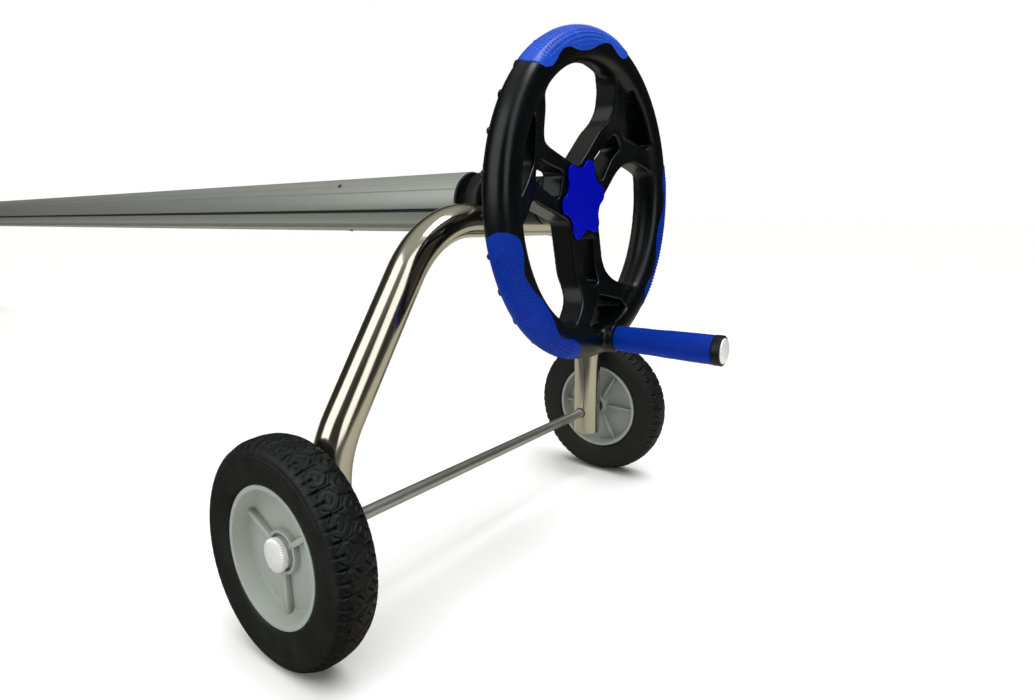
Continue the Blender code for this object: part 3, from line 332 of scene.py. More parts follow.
def dome_profile(radius: float, side: float, height: float, edge: float, hollow: float = 0.0,
                 bore: float = 0.0) -> Array:
    """Give the profile of a domed cap: a straight side, then an elliptic dome to the axis.

    Args:
        radius: The cap's radius.
        side: Height of the straight side.
        height: Whole height.
        edge: Radius of the lower edge.
        hollow: Depth of the hole in its back, or 0.
        bore: Radius of that hole.

    Returns:
        An open profile that starts and ends on the axis.
    """
    turn = np.linspace(0.0, math.pi / 2, 14)
    dome = np.stack([radius * np.cos(turn), side + (height - side) * np.sin(turn) ** 0.9], axis=1)
    dome[-1, 0] = 0.0
    foot = [(0.0, hollow), (bore, hollow), (bore, 0.0), (radius, 0.0), (radius, side)] if hollow > 0.0 else \
        [(0.0, 0.0), (radius, 0.0), (radius, side)]
    lower = rounded(foot, edge, closed=False, steps=3)
    return np.concatenate([lower[:-1], dome])


def bar(ends: tuple[Array, Array], wide: Array, tall: Array, edge: float) -> Shell:
    """Carry a rounded rectangle from one end to the other, with both ends closed to their middles.

    Args:
        ends: The middles of the two ends.
        wide: Half the width, as a vector.
        tall: Half the height, as a vector.
        edge: Radius of the four long edges.

    Returns:
        The shell.
    """
    half = np.linalg.norm(wide), np.linalg.norm(tall)
    corners = [(-half[0], -half[1]), (half[0], -half[1]), (half[0], half[1]), (-half[0], half[1])]
    section = rounded(corners, edge)
    across = section[:, :1] * (wide / half[0]) + section[:, 1:] * (tall / half[1])
    first, last = ends
    rows = [first + across * 0.0, first + across * 0.9, first + across, last + across, last + across * 0.9,
            last + across * 0.0]
    shift = (last - first) / np.linalg.norm(last - first) * edge * 0.5
    rows[2] = rows[2] + shift
    rows[3] = rows[3] - shift
    return grid_shell(np.stack(rows), wrap_rows=False)


def slab(outline: Array, profile: Array, axis: Axis) -> Shell:
    """Carry an edge profile round a flat outline, and close both faces to the outline's middle.

    A point is the outline moved inward by the profile's inset, at the profile's distance along the axis.

    Args:
        outline: Closed outline as (toward angle 0, toward angle 90), counterclockwise.
        profile: Rows of (inset, distance along the axis), from one face to the other.
        axis: The axis that stands on the faces.

    Returns:
        The shell.
    """
    run = np.roll(outline, -1, axis=0) - np.roll(outline, 1, axis=0)
    run /= np.linalg.norm(run, axis=1, keepdims=True)
    inward = np.stack([-run[:, 1], run[:, 0]], axis=1)
    middle = outline.mean(axis=0)
    rows, along = [], []
    for inset, distance in profile:
        rows.append(outline + inward * inset)
        along.append(distance)
    for share in (0.6, 0.25, 0.0):
        rows.insert(0, middle + (rows[0] - middle) * share)
        along.insert(0, along[0])
        rows.append(middle + (rows[-1] - middle) * share)
        along.append(along[-1])
    flat = np.stack(rows)
    radius = np.hypot(flat[..., 0], flat[..., 1])
    angle = np.arctan2(flat[..., 1], flat[..., 0])
    return grid_shell(axis.carry(radius, np.array(along)[:, None], angle), wrap_rows=False)


def edge_profile(low: float, high: float, edge: float, steps: int = 4) -> Array:
    """Give a slab's edge profile, with both edges rounded.

    Args:
        low: Place of the low face along the axis.
        high: Place of the high face.
        edge: Radius of the edges.
        steps: Number of faces round each edge.

    Returns:
        Rows of (inset, distance along the axis), from the low face to the high one.
    """
    turn = np.linspace(0.0, math.pi / 2, steps + 1)
    inset = edge * (1 - np.sin(turn))
    rise = edge * (1 - np.cos(turn))
    lower = np.stack([inset, low + rise], axis=1)
    upper = np.stack([inset[::-1], high - rise[::-1]], axis=1)
    return np.concatenate([lower, upper])


def smooth_step(low: float, high: float, value: Array) -> Array:
    """Rise smoothly from 0 at low to 1 at high."""
    share = np.clip((value - low) / (high - low), 0.0, 1.0)
    return share * share * (3 - 2 * share)


def smooth_union(first: Array, second: Array, reach: float) -> Array:
    """Join two distance fields with a fillet of about the given reach."""
    share = np.clip(0.5 + 0.5 * (second - first) / reach, 0.0, 1.0)
    return second * (1 - share) + first * share - reach * share * (1 - share)


def both(first: Array, second: Array, edge: float) -> Array:
    """Keep what lies inside two distance fields, with the edge between them rounded."""
    x, y = first + edge, second + edge
    return np.minimum(np.maximum(x, y), 0.0) + np.hypot(np.maximum(x, 0.0), np.maximum(y, 0.0)) - edge


def outline_distance(x: Array, y: Array, outline: Array) -> Array:
    """Measure the distance to a closed outline, below zero inside it.

    Args:
        x: First coordinates of the points.
        y: Second coordinates of the points.
        outline: The outline's points.

    Returns:
        The distances, in the shape of x.
    """
    place = np.stack([x.ravel(), y.ravel()], axis=1)
    nearest = np.full(len(place), np.inf)
    inside = np.zeros(len(place), bool)
    for start, end in zip(outline, np.roll(outline, -1, axis=0)):
        side = end - start
        offset = place - start
        share = np.clip(offset @ side / max(side @ side, 1e-18), 0.0, 1.0)
        away = offset - share[:, None] * side
        nearest = np.minimum(nearest, np.einsum("ij,ij->i", away, away))
        if side[1] != 0.0:
            crosses = (start[1] > place[:, 1]) != (end[1] > place[:, 1])
            inside ^= crosses & (place[:, 0] < side[0] * (place[:, 1] - start[1]) / side[1] + start[0])
    distance = np.sqrt(nearest)
    return np.where(inside, -distance, distance).reshape(x.shape)


def net_shell(low: Array, high: Array, cell: float, grid_field: Callable[[Array, Array, Array], Array],
              field: Callable[[Array], Array]) -> Shell:
    """Find the surface where a distance field is zero, as one net of four-cornered faces.

    Each cell of a regular grid that the surface crosses gets one point, the mean of the crossings on its
    edges. Four cells round a crossed edge make a face. The points are then moved along the field's slope
    until the field is zero there.

    Args:
        low: Lowest corner of the grid.
        high: Highest corner of the grid.
        cell: Size of a cell in metres.
        grid_field: The field for three axes of grid values, as an array of that grid's shape.
        field: The field for an array of points.

    Returns:
        The shell.
    """
    axes = [np.arange(low[k], high[k] + cell, cell) for k in range(3)]
    values = grid_field(*axes)
    inside = values < 0.0
    shape = np.array(values.shape) - 1
    total = np.zeros(shape)
    summed = np.zeros((*shape, 3))
    for direction in range(3):
        step = np.eye(3, dtype=int)[direction]
        ends = tuple(slice(0, n - s) for n, s in zip(values.shape, step))
        far = tuple(slice(s, n) for n, s in zip(values.shape, step))
        crossed = inside[ends] != inside[far]
        share = np.where(crossed, values[ends] / np.where(crossed, values[ends] - values[far], 1.0), 0.0)
        others = [k for k in range(3) if k != direction]
        for a in (0, 1):
            for b in (0, 1):
                window = [slice(None)] * 3
                window[others[0]] = slice(a, a + shape[others[0]])
                window[others[1]] = slice(b, b + shape[others[1]])
                hit = crossed[tuple(window)]
                total += hit
                summed[..., direction] += share[tuple(window)] * hit
                summed[..., others[0]] += a * hit
                summed[..., others[1]] += b * hit
    mixed = total > 0
    index = np.full(shape, -1)
    index[mixed] = np.arange(mixed.sum())
    base = np.argwhere(mixed)
    points = (base + summed[mixed] / total[mixed][:, None]) * cell + np.array([axis[0] for axis in axes])
    faces = []
    for direction in range(3):
        step = np.eye(3, dtype=int)[direction]
        ends = tuple(slice(0, n - s) for n, s in zip(values.shape, step))
        far = tuple(slice(s, n) for n, s in zip(values.shape, step))
        crossed = np.argwhere(inside[ends] != inside[far])
        others = [k for k in range(3) if k != direction]
        within = (crossed[:, others] > 0) & (crossed[:, others] < shape[others])
        crossed = crossed[within.all(axis=1)]
        leaving = inside[ends][tuple(crossed.T)]
        around = []
        for a, b in ((0, 0), (1, 0), (1, 1), (0, 1)):
            cell_index = crossed.copy()
            cell_index[:, others[0]] -= a
            cell_index[:, others[1]] -= b
            around.append(index[tuple(cell_index.T)])
        quad = np.stack(around, axis=1)
        turn = leaving if direction != 1 else ~leaving
        faces.append(np.where(turn[:, None], quad, quad[:, ::-1]))
    reach = 0.0002
    for _ in range(3):
        here = field(points)
        slope = np.stack([field(points + reach * np.eye(3)[k]) - field(points - reach * np.eye(3)[k])
                          for k in range(3)], axis=1) / (2 * reach)
        size = np.maximum(np.linalg.norm(slope, axis=1), 0.3)
        points = points - np.clip(here / size, -cell, cell)[:, None] * slope / size[:, None]
    joined = np.concatenate(faces)
    return Shell(points, joined, np.zeros((len(joined), 4, 2))).outward()


def add_piece(name: str, shells: Sequence[Shell], finish: "Finish", body: Body, node: str,
              sharp: float = 50.0) -> None:
    """Make one piece from its shells, put it on its body and let it stand for its CAD node.

    Args:
        name: The piece's name.
        shells: Its closed surfaces.
        finish: Its material's recipe.
        body: The body that it moves with.
        node: The CAD node that it stands for.
        sharp: Angle above which an edge is shown sharp.
    """
    starts = np.cumsum([0] + [len(shell.points) for shell in shells[:-1]])
    points = np.concatenate([shell.points for shell in shells]).astype(np.float32)
    faces = np.concatenate([shell.faces + start for shell, start in zip(shells, starts)]).astype(np.int32)
    uv = np.concatenate([shell.uv for shell in shells]).astype(np.float32)
    mesh = bpy.data.meshes.new(name)
    mesh.vertices.add(len(points))
    mesh.vertices.foreach_set("co", points.ravel())
    mesh.loops.add(faces.size)
    mesh.loops.foreach_set("vertex_index", faces.ravel())
    mesh.polygons.add(len(faces))
    mesh.polygons.foreach_set("loop_start", np.arange(0, faces.size, 4, dtype=np.int32))
    mesh.update(calc_edges=True)
    mesh.uv_layers.new(name="along").data.foreach_set("uv", uv.ravel())
    shaped = bmesh.new()
    shaped.from_mesh(mesh)
    bmesh.ops.remove_doubles(shaped, verts=shaped.verts, dist=MERGE_DISTANCE)
    bmesh.ops.dissolve_degenerate(shaped, edges=shaped.edges, dist=SMALLEST_EDGE)
    shaped.to_mesh(mesh)
    shaped.free()
    mesh.polygons.foreach_set("use_smooth", np.ones(len(mesh.polygons), bool))
    mesh.set_sharp_from_angle(angle=math.radians(sharp))
    mesh.materials.append(finish.material())
    piece = bpy.data.objects.new(name, mesh)
    bpy.context.scene.collection.objects.link(piece)
    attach(piece, body.value)
    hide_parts(node)
    log.info("%s: %d faces on %s", name, len(mesh.polygons), body.value)


def dress_node(name: str, finish: "Finish") -> None:
    """Give a CAD node that keeps its own shape its finish.

    Args:
        name: The node's name.
        finish: Its material's recipe.
    """
    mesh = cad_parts[name].data
    mesh.materials.clear()
    mesh.materials.append(finish.material())
    log.info("%s: its own shape, dressed", name)


# Material graphs

class Value:
    """A number on a socket of a material; an operator on it adds a Math node."""

    def __init__(self, graph: "Graph", socket: bpy.types.NodeSocket) -> None:
        """Keep the graph and the socket."""
        self.graph = graph
        self.socket = socket

    def math(self, operation: str, *others: "Value | float") -> "Value":
        """Add a Math node with this value as its first input."""
        node = self.graph.node("ShaderNodeMath", {"operation": operation},
                               {k: value for k, value in enumerate((self, *others))})
        return Value(self.graph, node.outputs[0])

    def __add__(self, other: "Value | float") -> "Value":
        """Add."""
        return self.math("ADD", other)

    __radd__ = __add__

    def __mul__(self, other: "Value | float") -> "Value":
        """Multiply."""
        return self.math("MULTIPLY", other)

    __rmul__ = __mul__

    def __sub__(self, other: "Value | float") -> "Value":
        """Subtract."""
        return self.math("SUBTRACT", other)

    def __rsub__(self, other: float) -> "Value":
        """Subtract this value from a number."""
        return (self * -1.0) + other

    def __pow__(self, other: float) -> "Value":
        """Raise to a power."""
        return self.math("POWER", other)

    def __abs__(self) -> "Value":
        """Drop the sign."""
        return self.math("ABSOLUTE")

    def rise(self, low: float, high: float, start: float = 0.0, end: float = 1.0) -> "Value":
        """Map low to start and high to end, smoothly and with no overshoot."""
        node = self.graph.node("ShaderNodeMapRange", {"interpolation_type": "SMOOTHSTEP"},
                               {"Value": self, "From Min": low, "From Max": high, "To Min": start,
                                "To Max": end})
        return Value(self.graph, node.outputs[0])


class Tree:
    """A node tree that is filled node by node."""

    def __init__(self, tree: bpy.types.NodeTree) -> None:
        """Keep the tree and empty it."""
        self.tree = tree
        self.tree.nodes.clear()

    def node(self, kind: str, settings: dict[str, object] | None = None,
             inputs: dict[str | int, object] | None = None) -> bpy.types.Node:
        """Add a node.

        Args:
            kind: The node's type.
            settings: Its own settings, set first.
            inputs: Socket name or number to a Value, a socket, a number or a colour.

        Returns:
            The node.
        """
        node = self.tree.nodes.new(kind)
        for key, setting in (settings or {}).items():
            setattr(node, key, setting)
        for key, given in (inputs or {}).items():
            self.feed(node.inputs[key], given)
        return node

    def feed(self, socket: bpy.types.NodeSocket,
             given: "Value | bpy.types.NodeSocket | float | tuple") -> None:
        """Link a value to a socket, or set the socket's own value.

        Args:
            socket: The socket.
            given: What goes into it; a colour of three numbers gets an alpha of 1.
        """
        if isinstance(given, Value):
            self.tree.links.new(given.socket, socket)
        elif isinstance(given, bpy.types.NodeSocket):
            self.tree.links.new(given, socket)
        elif isinstance(given, tuple) and len(given) == 3 and len(socket.default_value) == 4:
            socket.default_value = (*given, 1.0)
        else:
            socket.default_value = given


class Graph(Tree):
    """The node graph of one material."""

    def __init__(self, name: str) -> None:
        """Start an empty material with a Principled shader on its output.

        Args:
            name: The material's name.
        """
        self.material = bpy.data.materials.new(name)
        self.material.use_nodes = True
        super().__init__(self.material.node_tree)
        output = self.node("ShaderNodeOutputMaterial")
        self.shader = self.node("ShaderNodeBsdfPrincipled")
        self.feed(output.inputs[0], self.shader.outputs[0])

    def place(self, scale: Point = (1, 1, 1), along: bool = False) -> bpy.types.NodeSocket:
        """Add the coordinates that a pattern is laid by.

        Args:
            scale: Stretch of each direction.
            along: Whether they are the piece's own UV in metres, and not its Object coordinates.

        Returns:
            The stretched coordinates.
        """
        if along:
            source = self.node("ShaderNodeUVMap", {"uv_map": "along"}).outputs["UV"]
        else:
            source = self.node("ShaderNodeTexCoord").outputs["Object"]
        return self.node("ShaderNodeMapping", {}, {"Vector": source, "Scale": scale}).outputs[0]

    def split(self, vector: bpy.types.NodeSocket) -> tuple[Value, Value, Value]:
        """Split a vector into its three numbers."""
        outputs = self.node("ShaderNodeSeparateXYZ", {}, {0: vector}).outputs
        return Value(self, outputs[0]), Value(self, outputs[1]), Value(self, outputs[2])

    def noise(self, vector: bpy.types.NodeSocket, scale: float, detail: float = 3.0,
              rough: float = 0.5) -> Value:
        """Add a noise of a scale in features per metre; it runs from 0 to 1."""
        node = self.node("ShaderNodeTexNoise", {}, {"Vector": vector, "Scale": scale, "Detail": detail,
                                                    "Roughness": rough})
        return Value(self, node.outputs["Fac"])

    def cells(self, vector: bpy.types.NodeSocket, scale: float) -> Value:
        """Add the distance to the nearest point of a random cell pattern."""
        node = self.node("ShaderNodeTexVoronoi", {}, {"Vector": vector, "Scale": scale})
        return Value(self, node.outputs["Distance"])

    def blend(self, share: Value, first: Colour | bpy.types.NodeSocket,
              second: Colour | bpy.types.NodeSocket) -> bpy.types.NodeSocket:
        """Mix two colours.

        Args:
            share: Share of the second colour.
            first: The first colour.
            second: The second colour.

        Returns:
            The mixed colour's socket.
        """
        return self.node("ShaderNodeMix", {"data_type": "RGBA"}, {0: share, 6: first, 7: second}).outputs[2]

    def bump(self, height: Value, distance: float, strength: float = 1.0) -> None:
        """Bump the shader's normal by a height whose unit is the distance in metres."""
        node = self.node("ShaderNodeBump", {}, {"Height": height, "Distance": distance, "Strength": strength})
        self.feed(self.shader.inputs["Normal"], node.outputs[0])

    def shade(self, **inputs: "Value | bpy.types.NodeSocket | float | Colour") -> bpy.types.Material:
        """Feed the shader's sockets.

        Args:
            inputs: What goes into each, by the socket's name with _ for a space.

        Returns:
            The material.
        """
        for name, given in inputs.items():
            self.feed(self.shader.inputs[name.replace("_", " ")], given)
        return self.material


@dataclass(frozen=True)
class Finish:
    """What every finish has: a name and a main colour."""

    name: str
    colour: Colour

    @functools.cache
    def material(self) -> bpy.types.Material:
        """Make the material once and give it to every piece that asks."""
        return self.paint(Graph(self.name))

    def paint(self, graph: Graph) -> bpy.types.Material:
        """Fill the graph; each kind of finish does this its own way."""
        raise NotImplementedError

    def tinted(self, factor: float, cast: Colour = (1.0, 1.0, 1.0)) -> Colour:
        """Return the main colour, brighter or darker by a factor and with a slight cast."""
        return tuple(min(1.0, part * factor * tint) for part, tint in zip(self.colour, cast))


@dataclass(frozen=True)
class DrawnMetal(Finish):
    """Polished or drawn metal: fine lines that run along the piece, soft clouds and a few hairline marks."""

    roughness: float = 0.15
    streaks: float = 0.10
    line_pitch: float = 0.0012
    line_depth: float = 0.00001
    cloud: float = 0.06
    metallic: float = 1.0
    # painted_hole_shade_at and shadow paint a ring of shade round the axle, where the shaded gap in the
    # stand's hole would show
    painted_hole_shade_at: float | None = None
    # groove_shade_below and painted_groove_shade paint shade in the bottoms of the tube's grooves
    groove_shade_below: float | None = None
    shadow: Colour = (0.01, 0.01, 0.01)
    painted_groove_shade: Colour = (0.012, 0.012, 0.011)

    def paint(self, graph: Graph) -> bpy.types.Material:
        """Lay lines along the piece's own UV and clouds by its place.

        Where asked, a dark ring of painted shade round the axle stands for the shaded gap of its holes at one
        stand, and painted shade darkens the bottoms of the reel tube's grooves.

        Args:
            graph: The empty graph.

        Returns:
            The material.
        """
        stretch = (4.0, 1.0 / self.line_pitch, 1.0)
        lines = graph.noise(graph.place(stretch, along=True), 1.0, 4.0, 0.6)
        clouds = graph.noise(graph.place(), 22.0, 4.0, 0.55)
        marks = graph.noise(graph.place(tuple(part * 0.22 for part in stretch), along=True), 1.0, 2.0)
        marks = marks.rise(0.70, 0.78)
        colour = graph.blend(clouds.rise(0.35, 0.7) * 0.8 + lines * 0.2, self.tinted(1.0 - self.cloud),
                             self.tinted(1.0 + self.cloud, (1.0, 0.995, 0.985)))
        colour = graph.blend(marks * 0.25, colour, self.tinted(0.7))
        rough = lines.rise(0.3, 0.75) * self.streaks + clouds.rise(0.4, 0.7) * self.cloud + self.roughness
        # Painted shade: a dark ring round the axle, for the shaded gap of the stand's hole
        if self.painted_hole_shade_at is not None:
            x, _, z = graph.split(graph.place())
            away = ((x - self.painted_hole_shade_at) ** 2.0 + (z - AXLE_HEIGHT) ** 2.0) ** 0.5
            ring = away.rise(AXLE_RADIUS + 0.0008, AXLE_RADIUS + 0.0016, 1.0, 0.0)
            colour = graph.blend(ring, colour, self.shadow)
            rough = rough + ring * 0.6
        # Painted shade: the bottoms of the grooves are darkened for the shade that falls in them
        if self.groove_shade_below is not None:
            _, y, z = graph.split(graph.place())
            away = (y ** 2.0 + (z - REEL_HEIGHT) ** 2.0) ** 0.5
            share = away.rise(self.groove_shade_below - 0.0008, self.groove_shade_below, 0.9, 0.0)
            colour = graph.blend(share, colour, self.painted_groove_shade)
        graph.bump(lines + clouds * 0.4, self.line_depth)
        return graph.shade(Base_Color=colour, Metallic=self.metallic, Roughness=rough + marks * 0.1)


@dataclass(frozen=True)
class MouldedPlastic(Finish):
    """Moulded plastic: a fine sparked grain, slow changes of shade, rubbed patches and a little dust."""

    roughness: float = 0.4
    grain: float = 1500.0
    grain_depth: float = 0.00003
    variation: float = 0.10
    dust: Colour = (0.3, 0.3, 0.3)
    dust_share: float = 0.03
    shine: float = 0.5

    def paint(self, graph: Graph) -> bpy.types.Material:
        """Lay the grain, the patches and the dust by place.

        Args:
            graph: The empty graph.

        Returns:
            The material.
        """
        place = graph.place()
        grain = graph.noise(place, self.grain, 2.0, 0.6)
        slow = graph.noise(place, 14.0, 3.0, 0.5)
        rubbed = graph.noise(place, 60.0, 5.0, 0.65).rise(0.52, 0.72)
        colour = graph.blend(slow.rise(0.3, 0.7), self.tinted(1.0 - self.variation),
                             self.tinted(1.0 + self.variation, (0.98, 1.0, 1.02)))
        colour = graph.blend(rubbed * self.dust_share, colour, self.dust)
        rough = slow.rise(0.3, 0.7, -0.04, 0.04) + grain * 0.06 + rubbed * 0.07 + self.roughness
        graph.bump(grain + slow * 2.0, self.grain_depth)
        return graph.shade(Base_Color=colour, Roughness=rough, Specular_IOR_Level=self.shine)


@dataclass(frozen=True)
class TyreRubber(Finish):
    """Black rubber: a dull skin with fine pits, mould sheen, patches of pale dust, and a darker tread."""

    roughness: float = 0.45
    dust: Colour = (0.10, 0.095, 0.085)
    tread: Colour = (0.0012, 0.0020, 0.0022)
    shine: float = 0.34

    def paint(self, graph: Graph) -> bpy.types.Material:
        """Lay pits and dust by place, and the tread's tone beyond a radius round the wheels' axle.

        The feet lie beyond it too, so they have the tread's tone.

        Args:
            graph: The empty graph.

        Returns:
            The material.
        """
        place = graph.place()
        pits = graph.cells(place, 900.0)
        slow = graph.noise(place, 30.0, 4.0, 0.6)
        fine = graph.noise(place, 420.0, 3.0, 0.6)
        colour = graph.blend(slow.rise(0.35, 0.7), self.tinted(0.8), self.tinted(1.25, (1.0, 1.0, 0.97)))
        colour = graph.blend((fine * slow).rise(0.30, 0.5) * 0.06, colour, self.dust)
        x, _, z = graph.split(place)
        away = ((x - DRIVE_X) ** 2.0 + (z - AXLE_HEIGHT) ** 2.0) ** 0.5
        colour = graph.blend(away.rise(0.1005, 0.1045) * 0.9, colour, self.tread)
        rough = slow.rise(0.3, 0.7, -0.07, 0.07) + fine * 0.10 + self.roughness
        graph.bump(pits * 0.6 + fine, 0.00006)
        return graph.shade(Base_Color=colour, Roughness=rough, Specular_IOR_Level=self.shine)


@dataclass(frozen=True)
class StudioFloor(Finish):
    """A pale painted floor with the faintest mottling.

    In mirrored light it is a cream table that begins below the wheels and fades out one to two metres
    behind them, because the photograph's polished tube shows such a table and a dark room round it.
    Each pair of numbers says between which places the table fades.
    """

    table: Colour = (0.38, 0.365, 0.315)
    beyond: Colour = (0.05, 0.047, 0.04)
    ends: tuple[float, float] = (2.4, 3.4)
    back: tuple[float, float] = (0.9, 1.9)
    front: tuple[float, float] = (-0.40, -0.12)

    def paint(self, graph: Graph) -> bpy.types.Material:
        """Lay the mottling and the mirrored table by place.

        Args:
            graph: The empty graph.

        Returns:
            The material.
        """
        slow = graph.noise(graph.place(), 3.0, 3.0)
        colour = graph.blend(slow, self.tinted(0.99), self.tinted(1.01))
        x, y, _ = graph.split(graph.place())
        inside = abs(x).rise(*self.ends, 1.0, 0.0) * y.rise(*self.back, 1.0, 0.0) * y.rise(*self.front)
        mirrored = graph.blend(inside, self.beyond, self.table)
        glossy = Value(graph, graph.node("ShaderNodeLightPath").outputs["Is Glossy Ray"])
        return graph.shade(Base_Color=graph.blend(glossy, colour, mirrored), Roughness=slow * 0.1 + 0.6,
                           Specular_IOR_Level=0.1)


# The stainless stands carry a ring of painted shade round the axle
STAINLESS = DrawnMetal("stainless_tube", (0.60, 0.58, 0.49), roughness=0.09, streaks=0.10, line_pitch=0.0016,
                       line_depth=0.000006, cloud=0.03, painted_hole_shade_at=DRIVE_X)
# The tube carries painted shade in the bottoms of its grooves
ALUMINIUM = DrawnMetal("drawn_aluminium", (0.34, 0.365, 0.335), roughness=0.42, streaks=0.08,
                       line_pitch=0.0008, line_depth=0.00002, cloud=0.012, metallic=0.7, groove_shade_below=0.0370)
ROD_STEEL = DrawnMetal("axle_steel", (0.50, 0.52, 0.49), roughness=0.28, streaks=0.12, line_pitch=0.0009,
                       line_depth=0.00001, metallic=0.9)
FASTENER_STEEL = DrawnMetal("fastener_steel", (0.55, 0.55, 0.53), roughness=0.25, streaks=0.08,
                            line_pitch=0.0005)
RIVET_STEEL = DrawnMetal("rivet_steel", (0.10, 0.10, 0.095), roughness=0.45, streaks=0.08, line_pitch=0.0005)
CAP_METAL = DrawnMetal("bright_cap", (0.95, 0.96, 0.96), roughness=0.30, streaks=0.10, line_pitch=0.0011,
                       line_depth=0.00025, metallic=0.5)
WHEEL_BLACK = MouldedPlastic("hand_wheel_black", (0.0004, 0.0017, 0.0024), roughness=0.25, variation=0.2,
                             dust=(0.004, 0.007, 0.008), shine=0.36)
FITTING_BLACK = MouldedPlastic("fitting_black", (0.0022, 0.0027, 0.0030), roughness=0.36,
                               dust=(0.012, 0.012, 0.012), shine=0.35)
GRIP_BLUE = MouldedPlastic("grip_blue", (0.0002, 0.019, 0.225), roughness=0.33, grain=1100.0,
                           dust=(0.001, 0.032, 0.31), dust_share=0.4, variation=0.08, shine=0.08)
# A lighter copy of the grip blue, painted light: it stands for the light from above on the top grip
PAINTED_LIT_GRIP_BLUE = MouldedPlastic("grip_blue_painted_lit", (0.006, 0.055, 0.42), roughness=0.30, grain=1100.0,
                               dust=(0.03, 0.12, 0.66), dust_share=0.4, variation=0.10, shine=0.3)
KNOB_BLUE = MouldedPlastic("knob_blue", (0.0001, 0.0022, 0.31), roughness=0.18, grain_depth=0.00001,
                           variation=0.03, dust=(0.001, 0.006, 0.34), shine=0.08)
HUB_GREY = MouldedPlastic("hub_grey", (0.285, 0.310, 0.275), roughness=0.42, variation=0.05,
                          dust=(0.42, 0.45, 0.40), dust_share=0.10, shine=0.4)
RUBBER = TyreRubber("tyre_rubber", (0.0060, 0.0075, 0.0071))
NYLON = MouldedPlastic("bush_nylon", (0.66, 0.65, 0.60), roughness=0.45, variation=0.04)
FLOOR = StudioFloor("studio_floor", (0.88, 0.88, 0.88))


# Stands

@dataclass
class Stand:
    """One stand, bent from a single tube, open at both feet; its splay is in radians."""

    name: str
    node: str
    x: float
    leg_end: float
    radius: float = STAND_RADIUS
    wall: float = 0.0016
    top_drop: float = 0.0225
    top_half: float = 0.039
    top_bend: float = 0.127
    low_bend: float = 0.125
    splay: float = math.radians(32.3)
    half_spread: float = HALF_SPREAD
    sides: int = 72

    def route(self) -> Array:
        """List (Y, Z) of the tube's middle line from the near foot over the top to the far foot.

        The near half runs level, turns down on the top bend, slants straight out, and turns upright on
        the low bend. The far half runs level, turns down on a quarter bend and stands upright.

        Returns:
            The points, close together on the bends.
        """
        top = REEL_HEIGHT - self.top_drop
        quarter = np.radians(np.linspace(90.0, 0.0, 34))
        bend = np.stack([self.half_spread - self.top_bend + self.top_bend * np.cos(quarter),
                         top - self.top_bend + self.top_bend * np.sin(quarter)], axis=1)
        foot = np.array([self.half_spread, self.leg_end])
        far = np.concatenate([bend, bend[-1] + (foot - bend[-1]) * np.linspace(0, 1, 12)[1:, None]])
        turn = np.radians(np.linspace(90.0, math.degrees(self.splay), 26))
        upper = np.stack([self.top_half + self.top_bend * np.cos(turn),
                          top - self.top_bend + self.top_bend * np.sin(turn)], axis=1)
        shift = self.low_bend * (1 - math.cos(self.splay))
        slant = (self.half_spread - shift - upper[-1, 0]) / math.sin(self.splay)
        low_top = upper[-1, 1] - slant * math.cos(self.splay)
        turn = np.linspace(self.splay, 0.0, 16)
        centre = self.half_spread - self.low_bend, low_top - self.low_bend * math.sin(self.splay)
        lower = np.stack([centre[0] + self.low_bend * np.cos(turn),
                          centre[1] + self.low_bend * np.sin(turn)], axis=1)
        slanted = upper[-1] + (lower[0] - upper[-1]) * np.linspace(0.0, 1.0, 8)[1:-1, None]
        upright = lower[-1] + (foot - lower[-1]) * np.linspace(0, 1, 6)[1:, None]
        near = np.concatenate([upper, slanted, lower, upright])[::-1] * np.array([-1.0, 1.0])
        level = np.stack([np.linspace(-self.top_half, far[0, 0], 8)[1:-1], np.full(6, top)], axis=1)
        return np.concatenate([near, level, far])

    def shell(self) -> Shell:
        """Carry the tube's ring section along the route, out along its skin and back along its bore.

        A point is route + radius x (cos(angle) x across + sin(angle) x X). At each foot the radius runs
        round half a circle from the skin to the bore, so that the lip is rounded.

        Returns:
            The closed shell.
        """
        route = self.route()
        run = np.gradient(route, axis=0)
        run /= np.linalg.norm(run, axis=1, keepdims=True)
        lip = self.wall / 2
        turn = np.linspace(0.0, math.pi, 7)[1:-1]
        skin = np.full(len(route), self.radius)
        bore = np.full(len(route), self.radius - self.wall)
        lip_radius = self.radius - lip + lip * np.cos(turn)
        middle, tangent, radius = [route], [run], [skin]
        for end, sign in ((-1, 1.0), (0, -1.0)):
            middle.append(route[end] + sign * run[end] * (lip * (np.sin(turn) - 1.0))[:, None])
            tangent.append(np.repeat(run[end][None], len(turn), axis=0))
            radius.append(lip_radius if end == -1 else lip_radius[::-1])
            if end == -1:
                middle.append(route[::-1])
                tangent.append(run[::-1])
                radius.append(bore)
        middle, tangent, radius = np.concatenate(middle), np.concatenate(tangent), np.concatenate(radius)
        for index in (0, len(route) - 1, len(route) + len(turn), 2 * len(route) + len(turn) - 1):
            sign = 1.0 if index in (len(route) - 1, len(route) + len(turn)) else -1.0
            middle[index] = middle[index] - sign * tangent[index] * lip
        angle = np.arange(self.sides) * (2 * math.pi / self.sides)
        across = np.stack([-tangent[:, 1], tangent[:, 0]], axis=1)[:, None]
        flat = middle[:, None] + radius[:, None, None] * np.cos(angle)[None, :, None] * across
        x = self.x + radius[:, None] * np.sin(angle)[None]
        return grid_shell(np.concatenate([x[..., None], flat], axis=2), wrap_rows=True)

    def dress(self) -> None:
        """Add the stand."""
        add_piece(self.name, [self.shell()], STAINLESS, Body.STANDS, self.node)


